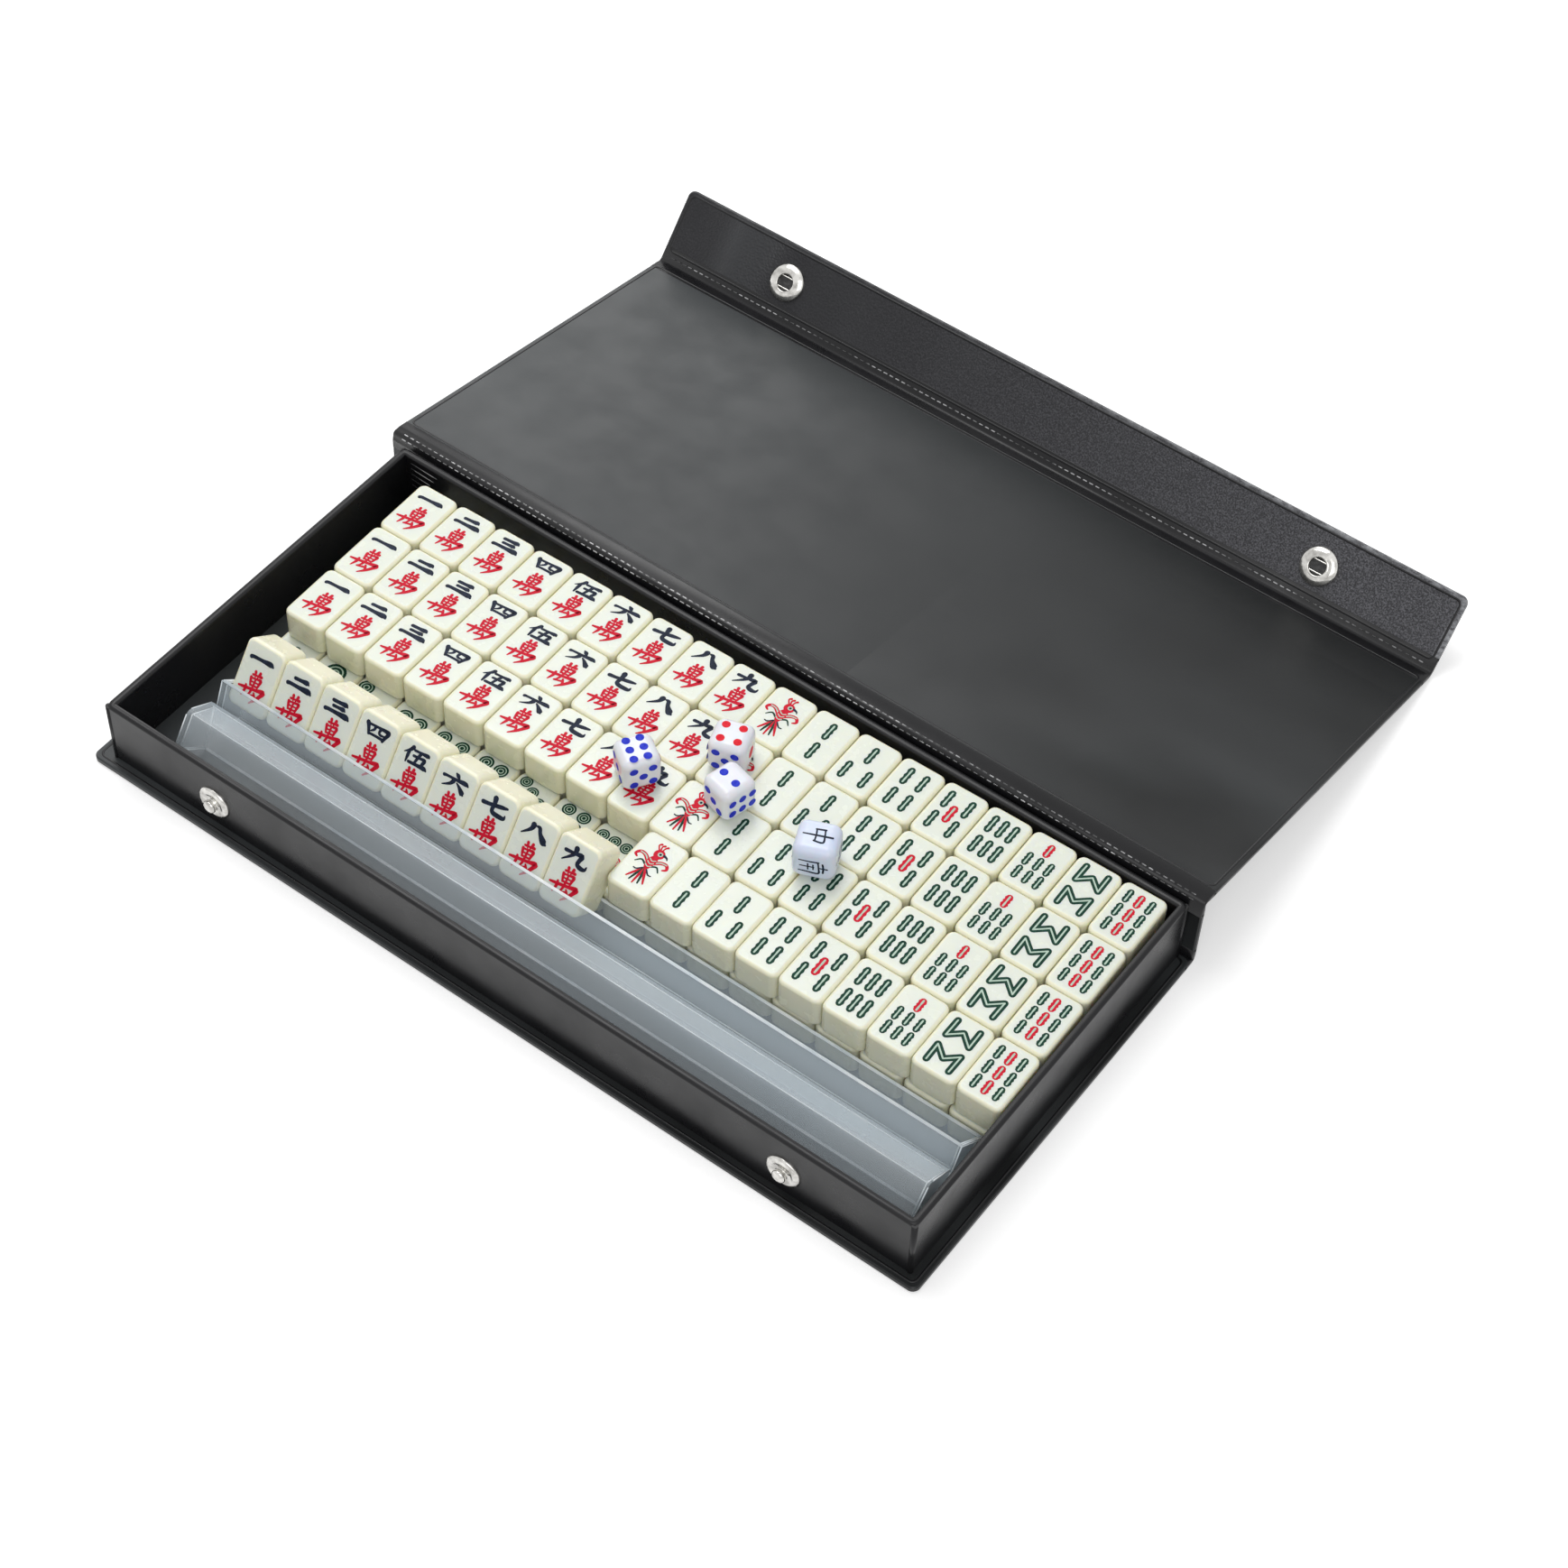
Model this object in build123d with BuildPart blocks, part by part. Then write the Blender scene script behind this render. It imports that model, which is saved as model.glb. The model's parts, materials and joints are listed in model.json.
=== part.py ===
"""Travel mahjong case: a vinyl-wrapped tray and folding lid, 144 tiles, two tile racks and four dice.

Millimetres and degrees. The origin is the middle of the base's underside, +X along the case's length
(to the right from the front), +Y to the back, where the lid is hinged, and +Z up.
"""
from build123d import *
import math
import os

os.makedirs("parts", exist_ok=True)

# ---- Driving dimensions ----
# Tiles
TILE_WIDTH = 14.8
TILE_LENGTH = 22.0
TILE_THICK = 11.5
TILE_EDGE = 0.9              # bevel round a tile's face and back
COLUMNS = 18
HALF_COLUMNS = 9             # one suit's run, 1 to 9
ROWS = 4
COLUMN_GAP = 0.4
ROW_GAP = 0.2
TIGHT_GAP_ROW = 0.15         # gap in the front upper row, which is pushed together
TIGHT_GAP_RACK = 0.05        # gap between the tiles stood in the rack
UPPER_YAW = 1.1              # the upper layer lies a little askew
LAY_CLEAR = 0.05             # play under a piece that can be lifted off another

# Case panels
BASE_THICK = 2.2
PANEL_THICK = 2.0
SKIN = 0.35                  # vinyl round the board
PANEL_CORNER = 2.5
PANEL_EDGE = 0.45            # bevel of the wrapped edges
FLOOR_LINING = 0.5
FLAP_LENGTH = 26.6
SPINE_LEAN = 1.1             # spine leans back from upright
FLAP_RISE = 49.2             # flap above horizontal
BASE_WEB = 1.15              # bare vinyl from the base's edge to the spine's hinge line
SPINE_WEB = 1.5              # bare vinyl from that hinge line to the spine's edge
FOLD_WEB = 2.5               # bare vinyl each side of the lid's and the flap's hinge lines
WEB_THICK = 0.7
LID_CLEAR = 0.8              # closed lid above the tray's rim
MARGIN_LEFT = 5.8            # base's ledge round the tray
MARGIN_RIGHT = 4.2
MARGIN_FRONT = 3.85
MARGIN_BACK = 0.15

# Tray
WALL = 2.4
RIM_R = 1.0
STRIP_LEFT = 12.5            # free strip beside the tiles
END_CLEAR = 1.5
BACK_CLEAR = 1.3
FRONT_CHANNEL = 39.6         # room for the two racks
UPPER_CLEAR = 0.3            # upper layer's corners to the walls

# Snap fasteners
SNAP_SPACING = 207.6
STUD_HEIGHT = 12.0           # stud's centre above the table
STUD_FLANGE_R = 5.8
STUD_BALL_R = 2.25
STUD_PROUD = 3.3
STUD_FLANGE_EDGE = 0.5       # rim of the dished flange
STUD_CROWN_R = 4.2           # ring where the flange is highest
STUD_CROWN = 1.2
STUD_DISH_R = 2.75           # foot of the post, in the dish
STUD_DISH = 0.8
STUD_NECK_R = 1.8
STUD_NECK_TOP = 1.3
STUD_BALL_Z = 2.2            # widest part of the ball
STUD_TIP_R = 1.25
SOCKET_R = 6.4
SOCKET_HOLE_R = 2.9
SOCKET_PROUD = 1.9
SOCKET_EDGE = 0.5            # upright rim of the domed ring
SOCKET_DOME_R = 5.6
SOCKET_DOME = 1.4
SOCKET_TOP_R = 4.5
SOCKET_BEVEL = 0.4           # round the hole's mouth
SOCKET_FLOOR = 0.4
SNAP_PLAY = 1.8              # how far the soft hinges let the closed flap ride down
RIVET_R = 1.6
RIVET_HEAD_R = 4.4
RIVET_HEAD_T = 0.8
RIVET_CLEAR = 0.05
SPRING_R = 0.25
SPRING_SPREAD = 1.9          # spring wire to the socket's centre
SPRING_SEAT = 0.5            # spring wire's end in its slot
SPRING_Z = 1.2               # spring wires above the flap

# Racks
RACK_WALL = 1.2
RACK_WEB = 12.2
RACK_LONG = 16.8
RACK_SHORT = 13.6
RACK_FLARE = 6.5
RACK_TILT = 30.0
RACK_CORNER_R = 1.8
RACK_LIP = 0.3               # bevel round the rack's rim
RACK_END_CLEAR = 2.9         # racks to the tray's right wall
RACK_FLOOR_CLEAR = 0.1
FRONT_LIP_CLEAR = 0.3        # front rack's long wall to the floor
RACK_TILE_CLEAR = 0.9        # rear rack's back lip to the lower tiles
NEST_GAP = 1.5               # between the two racks' long walls
RACKED_ROW_CLEAR = 0.1       # stood tiles to the front upper row
RACKED_SIDE_CLEAR = 0.2      # stood tiles to the rack's left end wall
RACKED_BACK_CLEAR = 0.1
RACKED_FRONT_CLEAR = 0.4

# Dice: x, y of each centre and its turn
DIE = 12.0
DIE_EDGE = 1.3
WIND_DIE = 13.0
WIND_DIE_EDGE = 1.9
DIE_LEFT = (-5.9, 10.1, -33.0)
DIE_BACK = (12.3, 31.4, 18.0)
DIE_RIGHT = (21.8, 17.9, -14.0)
DIE_WIND = (54.6, 15.9, 23.6)

# ---- Worked-out places ----
PITCH = TILE_WIDTH + COLUMN_GAP
ROW_PITCH = TILE_LENGTH + ROW_GAP
BLOCK_LENGTH = COLUMNS * PITCH - COLUMN_GAP
BLOCK_DEPTH = ROWS * ROW_PITCH - ROW_GAP
INNER_LENGTH = STRIP_LEFT + BLOCK_LENGTH + END_CLEAR
INNER_DEPTH = FRONT_CHANNEL + BLOCK_DEPTH + BACK_CLEAR
BASE_LENGTH = MARGIN_LEFT + INNER_LENGTH + 2 * WALL + MARGIN_RIGHT
BASE_DEPTH = MARGIN_FRONT + INNER_DEPTH + 2 * WALL + MARGIN_BACK

INNER_LEFT = MARGIN_LEFT + WALL - BASE_LENGTH / 2
INNER_RIGHT = INNER_LEFT + INNER_LENGTH
INNER_FRONT = MARGIN_FRONT + WALL - BASE_DEPTH / 2
INNER_BACK = INNER_FRONT + INNER_DEPTH
OUTER_FRONT = INNER_FRONT - WALL
FLOOR_Z = BASE_THICK + FLOOR_LINING
UPPER_Z = FLOOR_Z + TILE_THICK + LAY_CLEAR
TILES_TOP = UPPER_Z + TILE_THICK
RIM_Z = TILES_TOP

SPINE_HINGE_Y = BASE_DEPTH / 2 + BASE_WEB
SPINE_HINGE_Z = BASE_THICK / 2
SPINE_ANGLE = 90 - SPINE_LEAN
LID_HINGE_Z = RIM_Z + LID_CLEAR + PANEL_THICK / 2
SPINE_SPAN = (LID_HINGE_Z - SPINE_HINGE_Z) / math.cos(math.radians(SPINE_LEAN))
LID_HINGE_Y = SPINE_HINGE_Y + SPINE_SPAN * math.sin(math.radians(SPINE_LEAN))
LID_SPAN = LID_HINGE_Y - OUTER_FRONT + SOCKET_PROUD + PANEL_THICK / 2
LID_ANGLE = -math.degrees(math.asin((LID_HINGE_Z - SPINE_HINGE_Z) / LID_SPAN))
FLAP_HINGE_Y = LID_HINGE_Y + LID_SPAN * math.cos(math.radians(LID_ANGLE))
FLAP_HINGE_Z = SPINE_HINGE_Z
SOCKET_OUT = LID_HINGE_Z - STUD_HEIGHT - SNAP_PLAY

YAW = math.radians(UPPER_YAW)
FRONT_PITCH = TILE_WIDTH + TIGHT_GAP_ROW
FRONT_RUN = (HALF_COLUMNS - 1) * FRONT_PITCH + TILE_WIDTH
FRONT_ROW_LEFT = INNER_RIGHT - UPPER_CLEAR - FRONT_RUN * math.cos(YAW) - TILE_LENGTH * math.sin(YAW)
RACKED_PITCH = TILE_WIDTH + TIGHT_GAP_RACK
RACKED_RUN = (HALF_COLUMNS - 1) * RACKED_PITCH + TILE_WIDTH
RACKED_LEFT = FRONT_ROW_LEFT - RACKED_ROW_CLEAR - RACKED_RUN
RACK_LEFT = RACKED_LEFT - RACKED_SIDE_CLEAR - RACK_WALL
RACK_LENGTH = INNER_RIGHT - RACK_END_CLEAR - RACK_LEFT

BOTTOM = (Align.CENTER, Align.CENTER, Align.MIN)


def write(piece, name):
    """Label a finished piece and write it to its own file."""
    piece.part.label = name
    export_step(piece.part, f"parts/{name}.step")


def shifted(plane, x, y, z):
    """The plane moved by its own x, y and z."""
    return Plane(origin=plane.from_local_coords((x, y, z)), x_dir=plane.x_dir, z_dir=plane.z_dir)


def panel_plane(y, z, angle):
    """Middle plane of a panel: Y runs away from its hinge at the angle above horizontal, Z is inside."""
    turn = math.radians(angle)
    return Plane(origin=(0, y, z), x_dir=(1, 0, 0), z_dir=(0, -math.sin(turn), math.cos(turn)))


def axial_plane(plane):
    """Plane through a turned piece's axis: X is its radius and Y runs along the axis."""
    return Plane(origin=plane.origin, x_dir=plane.x_dir, z_dir=plane.x_dir.cross(plane.z_dir))


# ---- Vinyl-wrapped panels ----
BASE_PLANE = Plane.XY.offset(BASE_THICK / 2)
SPINE_PLANE = panel_plane(SPINE_HINGE_Y, SPINE_HINGE_Z, SPINE_ANGLE)
LID_PLANE = panel_plane(LID_HINGE_Y, LID_HINGE_Z, LID_ANGLE)
FLAP_PLANE = panel_plane(FLAP_HINGE_Y, FLAP_HINGE_Z, FLAP_RISE)


def wrapped_panel(name, plane, start, end, thick, holes):
    """A board with an outer skin and a lining that meet halfway up its edges, and rivet holes."""
    centre = (start + end) / 2
    depth = end - start
    with BuildPart() as whole:
        with BuildSketch(plane.offset(-thick / 2)):
            with Locations((0, centre)):
                RectangleRounded(BASE_LENGTH, depth, PANEL_CORNER)
        extrude(amount=thick)
        through = Axis(plane.origin, plane.z_dir)
        chamfer(whole.edges().group_by(through)[0], PANEL_EDGE)
        chamfer(whole.edges().group_by(through)[-1], PANEL_EDGE)
    with BuildPart() as core:
        with BuildSketch(plane.offset(SKIN - thick / 2)) as outline:
            with Locations((0, centre)):
                Rectangle(BASE_LENGTH - 2 * SKIN, depth - 2 * SKIN)
            chamfer(outline.vertices(), PANEL_CORNER - SKIN)
        extrude(amount=thick - 2 * SKIN)
    with BuildPart() as drill:
        with BuildSketch(plane.offset(-thick)):
            with Locations(*holes) if holes else Locations((0, centre)):
                Circle(RIVET_R + RIVET_CLEAR)
        extrude(amount=2 * thick)
    with BuildPart() as board:
        add(core.part)
        if holes:
            add(drill.part, mode=Mode.SUBTRACT)
    with BuildPart() as wrap:
        add(whole.part)
        add(core.part, mode=Mode.SUBTRACT)
        if holes:
            add(drill.part, mode=Mode.SUBTRACT)
    with BuildPart() as skin:
        add(wrap.part)
        split(bisect_by=plane, keep=Keep.BOTTOM)
    with BuildPart() as lining:
        add(wrap.part)
        split(bisect_by=plane, keep=Keep.TOP)
    write(board, f"{name}_board")
    write(skin, f"{name}_outer_skin")
    write(lining, f"{name}_lining")


SOCKET_PLACES = [(-SNAP_SPACING / 2, SOCKET_OUT), (SNAP_SPACING / 2, SOCKET_OUT)]
wrapped_panel("base", BASE_PLANE, -BASE_DEPTH / 2, BASE_DEPTH / 2, BASE_THICK, [])
wrapped_panel("spine", SPINE_PLANE, SPINE_WEB, SPINE_SPAN - FOLD_WEB, PANEL_THICK, [])
wrapped_panel("lid", LID_PLANE, FOLD_WEB, LID_SPAN - FOLD_WEB, PANEL_THICK, [])
wrapped_panel("flap", FLAP_PLANE, FOLD_WEB, FLAP_LENGTH, PANEL_THICK, SOCKET_PLACES)


def hinge_web(name, y, z, angle_in, reach_in, angle_out, reach_out):
    """The bare vinyl between two panels, bent at the hinge line: an angle strip as thick as the wrap."""
    into = Vector(math.cos(math.radians(angle_in)), math.sin(math.radians(angle_in)))
    out = Vector(math.cos(math.radians(angle_out)), math.sin(math.radians(angle_out)))
    side_in = into.rotate(Axis.Z, 90) * (WEB_THICK / 2)
    side_out = out.rotate(Axis.Z, 90) * (WEB_THICK / 2)
    bend = (into + out) * (WEB_THICK / 2 / math.sin(math.radians(angle_in - angle_out)))
    section = Plane(origin=(-BASE_LENGTH / 2 + PANEL_CORNER, y, z), x_dir=(0, 1, 0), z_dir=(1, 0, 0))
    with BuildPart() as web:
        with BuildSketch(section):
            with BuildLine():
                Polyline(
                    into * reach_in - side_in,
                    bend,
                    out * reach_out + side_out,
                    out * reach_out - side_out,
                    bend * -1,
                    into * reach_in + side_in,
                    close=True,
                )
            make_face()
        extrude(amount=BASE_LENGTH - 2 * PANEL_CORNER)
    write(web, name)


hinge_web("spine_hinge_web", SPINE_HINGE_Y, SPINE_HINGE_Z, 180, BASE_WEB, SPINE_ANGLE, SPINE_WEB)
hinge_web("lid_hinge_web", LID_HINGE_Y, LID_HINGE_Z, LID_ANGLE, FOLD_WEB, SPINE_ANGLE - 180, FOLD_WEB)
hinge_web("flap_hinge_web", FLAP_HINGE_Y, FLAP_HINGE_Z, 180 + LID_ANGLE, FOLD_WEB, FLAP_RISE, FOLD_WEB)


# ---- Tray ----
STUD_PLANE = Plane(origin=(0, OUTER_FRONT, STUD_HEIGHT), x_dir=(1, 0, 0), z_dir=(0, -1, 0))


def tray_wall(name, from_corner, to_corner, inset_from, inset_to, drilled):
    """One wrapped wall with mitred ends and a rounded rim: two outer corners, then the inner ones."""
    with BuildPart() as wall:
        with BuildSketch(Plane.XY.offset(BASE_THICK)):
            with BuildLine():
                Polyline(from_corner, to_corner, inset_to, inset_from, close=True)
            make_face()
        extrude(amount=RIM_Z - BASE_THICK)
        rim = wall.faces().sort_by(Axis.Z)[-1]
        fillet(rim.edges().sort_by(SortBy.LENGTH)[-2:], RIM_R)
        if drilled:
            with BuildSketch(STUD_PLANE):
                with GridLocations(SNAP_SPACING, 1, 2, 1):
                    Circle(RIVET_R + RIVET_CLEAR)
            extrude(amount=-WALL, mode=Mode.SUBTRACT)
    write(wall, name)


INNER_CORNERS = [
    (INNER_LEFT, INNER_FRONT),
    (INNER_RIGHT, INNER_FRONT),
    (INNER_RIGHT, INNER_BACK),
    (INNER_LEFT, INNER_BACK),
]
OUTER_CORNERS = [
    (INNER_LEFT - WALL, INNER_FRONT - WALL),
    (INNER_RIGHT + WALL, INNER_FRONT - WALL),
    (INNER_RIGHT + WALL, INNER_BACK + WALL),
    (INNER_LEFT - WALL, INNER_BACK + WALL),
]
for side, wall_name in enumerate(["front", "right", "back", "left"]):
    after = (side + 1) % 4
    tray_wall(
        f"tray_wall_{wall_name}",
        OUTER_CORNERS[side],
        OUTER_CORNERS[after],
        INNER_CORNERS[side],
        INNER_CORNERS[after],
        wall_name == "front",
    )

with BuildPart() as tray_floor_lining:
    with BuildSketch(Plane.XY.offset(BASE_THICK)):
        with Locations(((INNER_LEFT + INNER_RIGHT) / 2, (INNER_FRONT + INNER_BACK) / 2)):
            Rectangle(INNER_LENGTH, INNER_DEPTH)
    extrude(amount=FLOOR_LINING)
write(tray_floor_lining, "tray_floor_lining")


# ---- Snap fasteners ----
# Stud: a dished flange with a ball post, turned about the normal of the front wall.
stud_place = shifted(STUD_PLANE, SNAP_SPACING / 2, 0, 0)
with BuildPart() as snap_studs:
    with BuildSketch(axial_plane(stud_place)):
        with BuildLine():
            rim = Polyline((0, 0), (STUD_FLANGE_R, 0), (STUD_FLANGE_R, STUD_FLANGE_EDGE))
            dish = Polyline(rim @ 1, (STUD_CROWN_R, STUD_CROWN), (STUD_DISH_R, STUD_DISH))
            neck = Polyline(dish @ 1, (STUD_NECK_R, STUD_DISH), (STUD_NECK_R, STUD_NECK_TOP))
            ball = Polyline(neck @ 1, (STUD_BALL_R, STUD_BALL_Z), (STUD_TIP_R, STUD_PROUD))
            Polyline(ball @ 1, (0, STUD_PROUD), (0, 0))
        make_face()
    revolve(axis=Axis(stud_place.origin, stud_place.z_dir))
    mirror(about=Plane.YZ)
write(snap_studs, "snap_studs")

# Rivets that hold the studs, with their heads on the tray's inside.
with BuildPart() as stud_rivets:
    with BuildSketch(STUD_PLANE):
        with GridLocations(SNAP_SPACING, 1, 2, 1):
            Circle(RIVET_R)
    extrude(amount=-WALL)
    with BuildSketch(STUD_PLANE.offset(-WALL)):
        with GridLocations(SNAP_SPACING, 1, 2, 1):
            Circle(RIVET_HEAD_R)
    extrude(amount=-RIVET_HEAD_T)
write(stud_rivets, "stud_rivets")

# Spring wires of the sockets, two in each, with their ends in slots of the socket's wall.
SOCKET_PLANE = shifted(FLAP_PLANE, 0, SOCKET_OUT, PANEL_THICK / 2)
SPRING_LENGTH = 2 * math.sqrt(SOCKET_HOLE_R**2 - SPRING_SPREAD**2) + 2 * SPRING_SEAT
with BuildPart() as socket_springs:
    for end in (-1, 1):
        start = shifted(SOCKET_PLANE, end * SNAP_SPACING / 2 - SPRING_LENGTH / 2, 0, SPRING_Z)
        with BuildSketch(Plane(origin=start.origin, x_dir=start.y_dir, z_dir=start.x_dir)):
            with GridLocations(2 * SPRING_SPREAD, 1, 2, 1):
                Circle(SPRING_R)
        extrude(amount=SPRING_LENGTH)
write(socket_springs, "socket_springs")

# Socket: a domed ring with a blind hole, turned about the flap's normal.
socket_place = shifted(SOCKET_PLANE, SNAP_SPACING / 2, 0, 0)
LIP_R = SOCKET_HOLE_R + SOCKET_BEVEL
LIP_Z = SOCKET_PROUD - SOCKET_BEVEL
with BuildPart() as snap_sockets:
    with BuildSketch(axial_plane(socket_place)):
        with BuildLine():
            edge = Polyline((0, 0), (SOCKET_R, 0), (SOCKET_R, SOCKET_EDGE))
            dome = Polyline(edge @ 1, (SOCKET_DOME_R, SOCKET_DOME), (SOCKET_TOP_R, SOCKET_PROUD))
            lip = Polyline(dome @ 1, (LIP_R, SOCKET_PROUD), (SOCKET_HOLE_R, LIP_Z))
            Polyline(lip @ 1, (SOCKET_HOLE_R, SOCKET_FLOOR), (0, SOCKET_FLOOR), (0, 0))
        make_face()
    revolve(axis=Axis(socket_place.origin, socket_place.z_dir))
    mirror(about=Plane.YZ)
    with BuildSketch(shifted(SOCKET_PLANE, 0, 0, SPRING_Z - SPRING_R)):
        with GridLocations(SNAP_SPACING, 2 * SPRING_SPREAD, 2, 2):
            Rectangle(SPRING_LENGTH, 2 * SPRING_R)
    extrude(amount=2 * SPRING_R, mode=Mode.SUBTRACT)
write(snap_sockets, "snap_sockets")

# Caps of the sockets: flat heads on the flap's outside with barrels through the panel.
CAP_PLANE = shifted(FLAP_PLANE, 0, SOCKET_OUT, -PANEL_THICK / 2)
with BuildPart() as socket_caps:
    with BuildSketch(CAP_PLANE):
        with GridLocations(SNAP_SPACING, 1, 2, 1):
            Circle(RIVET_R)
    extrude(amount=PANEL_THICK)
    with BuildSketch(CAP_PLANE):
        with GridLocations(SNAP_SPACING, 1, 2, 1):
            Circle(SOCKET_R)
    extrude(amount=-RIVET_HEAD_T)
    out = Axis(CAP_PLANE.origin, CAP_PLANE.z_dir)
    chamfer(socket_caps.edges().filter_by(GeomType.CIRCLE).group_by(out)[0], RIVET_HEAD_T / 2)
write(socket_caps, "socket_caps")


# ---- Racks ----
# Section of a rack in its own frame: the web lies along X and the trough opens along Y, with the
# short wall at +X and the long wall at -X, both flared by the same angle.
FLARE = math.radians(RACK_FLARE)
TILT = math.radians(RACK_TILT)
SHORT_TOP = (RACK_WEB / 2 + RACK_SHORT * math.sin(FLARE), RACK_SHORT * math.cos(FLARE))
LONG_TOP = (-RACK_WEB / 2 - RACK_LONG * math.sin(FLARE), RACK_LONG * math.cos(FLARE))
WEB_ALONG = Vector(0, math.cos(TILT), -math.sin(TILT))
WEB_OPEN = Vector(0, math.sin(TILT), math.cos(TILT))

# The rear rack stands on its short wall's corner, with that wall's lip just clear of the lower tiles.
LOWER_FRONT = INNER_BACK - BACK_CLEAR - BLOCK_DEPTH
lip_reach = WEB_ALONG * SHORT_TOP[0] + WEB_OPEN * SHORT_TOP[1]
corner_reach = WEB_ALONG * (RACK_WEB / 2)
REAR_RACK_Y = LOWER_FRONT - RACK_TILE_CLEAR - lip_reach.Y
REAR_RACK_Z = FLOOR_Z + RACK_FLOOR_CLEAR - corner_reach.Z
rear_left = Vector(RACK_LEFT, REAR_RACK_Y, REAR_RACK_Z)
REAR_SECTION = Plane(origin=rear_left, x_dir=WEB_ALONG, z_dir=(1, 0, 0))

# The front rack is the same piece turned over about X: its long wall lies along the rear one's, a
# nest gap away, and its lip is just clear of the floor.
LONG_LEAN = TILT - FLARE
long_corner = rear_left - corner_reach
front_lip_z = FLOOR_Z + FRONT_LIP_CLEAR
lip_slip = (front_lip_z - long_corner.Z) * math.sin(LONG_LEAN) - NEST_GAP
front_lip_y = long_corner.Y + lip_slip / math.cos(LONG_LEAN)
long_reach = WEB_ALONG * LONG_TOP[0] + WEB_OPEN * LONG_TOP[1]
front_left = Vector(rear_left.X, front_lip_y + long_reach.Y, front_lip_z + long_reach.Z)
FRONT_SECTION = Plane(origin=front_left, x_dir=WEB_ALONG * -1, z_dir=(1, 0, 0))


def rack(name, section):
    """A clear trough with flared walls, closed ends and a rounded web."""
    # the cavity's walls are carried on past both lips, so that the cut leaves the trough open
    inner_half = RACK_WEB / 2 + RACK_WALL * math.tan(FLARE) - RACK_WALL / math.cos(FLARE)
    short_out = SHORT_TOP[1] + RACK_WEB
    long_out = LONG_TOP[1] + RACK_WEB
    short_x = inner_half + (short_out - RACK_WALL) * math.tan(FLARE)
    long_x = -inner_half - (long_out - RACK_WALL) * math.tan(FLARE)
    with BuildPart() as trough:
        with BuildSketch(section):
            with BuildLine():
                Polyline((-RACK_WEB / 2, 0), (RACK_WEB / 2, 0), SHORT_TOP, LONG_TOP, close=True)
            make_face()
        extrude(amount=RACK_LENGTH)
        along = Axis(section.origin, section.y_dir)
        long_edges = trough.edges().filter_by(Axis.X).sort_by(along)
        fillet(long_edges[:2], RACK_CORNER_R)
        with BuildSketch(section.offset(RACK_WALL)):
            with BuildLine():
                Polyline((-inner_half, RACK_WALL), (inner_half, RACK_WALL), (short_x, short_out))
                Polyline((short_x, short_out), (long_x, long_out), (-inner_half, RACK_WALL))
            make_face()
        extrude(amount=RACK_LENGTH - 2 * RACK_WALL, mode=Mode.SUBTRACT)
        rim = trough.faces().sort_by(along)[-1]
        chamfer(rim.edges(), RACK_LIP)
    write(trough, name)


rack("rack_rear", REAR_SECTION)
rack("rack_front", FRONT_SECTION)


# ---- Tiles ----
def tile_row(name, middle, count, pitch):
    """A row of bevelled tiles side by side; the plane is the middle of the row's underside."""
    with BuildPart(middle) as row:
        with GridLocations(pitch, 1, count, 1):
            Box(TILE_WIDTH, TILE_LENGTH, TILE_THICK, align=BOTTOM)
        upright = Axis(middle.origin, middle.z_dir)
        chamfer(row.faces().group_by(upright)[-1].edges(), TILE_EDGE)
        chamfer(row.faces().group_by(upright)[0].edges(), TILE_EDGE)
    write(row, name)


def run_middle(first, count, pitch):
    """Middle of a run of tiles from the given column, along the block's X."""
    return first * pitch + ((count - 1) * pitch + TILE_WIDTH) / 2


LOWER_BLOCK = Plane(origin=(INNER_LEFT + STRIP_LEFT, INNER_BACK - BACK_CLEAR, FLOOR_Z))
upper_left = INNER_RIGHT - UPPER_CLEAR - BLOCK_LENGTH * math.cos(YAW) - BLOCK_DEPTH * math.sin(YAW)
upper_back = INNER_BACK - UPPER_CLEAR - BLOCK_LENGTH * math.sin(YAW)
UPPER_BLOCK = Plane(
    origin=(upper_left, upper_back, UPPER_Z),
    x_dir=(math.cos(YAW), math.sin(YAW), 0),
    z_dir=(0, 0, 1),
)
LEFT_HALF = run_middle(0, HALF_COLUMNS, PITCH)
RIGHT_HALF = run_middle(HALF_COLUMNS, HALF_COLUMNS, PITCH)
for row_index in range(ROWS):
    row_y = -row_index * ROW_PITCH - TILE_LENGTH / 2
    number = row_index + 1
    tile_row(f"lower_dots_{number}", shifted(LOWER_BLOCK, LEFT_HALF, row_y, 0), HALF_COLUMNS, PITCH)
    tile_row(f"lower_honours_{number}", shifted(LOWER_BLOCK, RIGHT_HALF, row_y, 0), HALF_COLUMNS, PITCH)
    if number < ROWS:
        left = shifted(UPPER_BLOCK, LEFT_HALF, row_y, 0)
        right = shifted(UPPER_BLOCK, RIGHT_HALF, row_y, 0)
        tile_row(f"upper_characters_{number}", left, HALF_COLUMNS, PITCH)
        tile_row(f"upper_bamboo_{number}", right, HALF_COLUMNS, PITCH)
    else:
        # the front row is pushed together against the right-hand end
        front = shifted(UPPER_BLOCK, BLOCK_LENGTH - FRONT_RUN / 2, row_y, 0)
        tile_row(f"upper_bamboo_{number}", front, HALF_COLUMNS, FRONT_PITCH)

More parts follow.
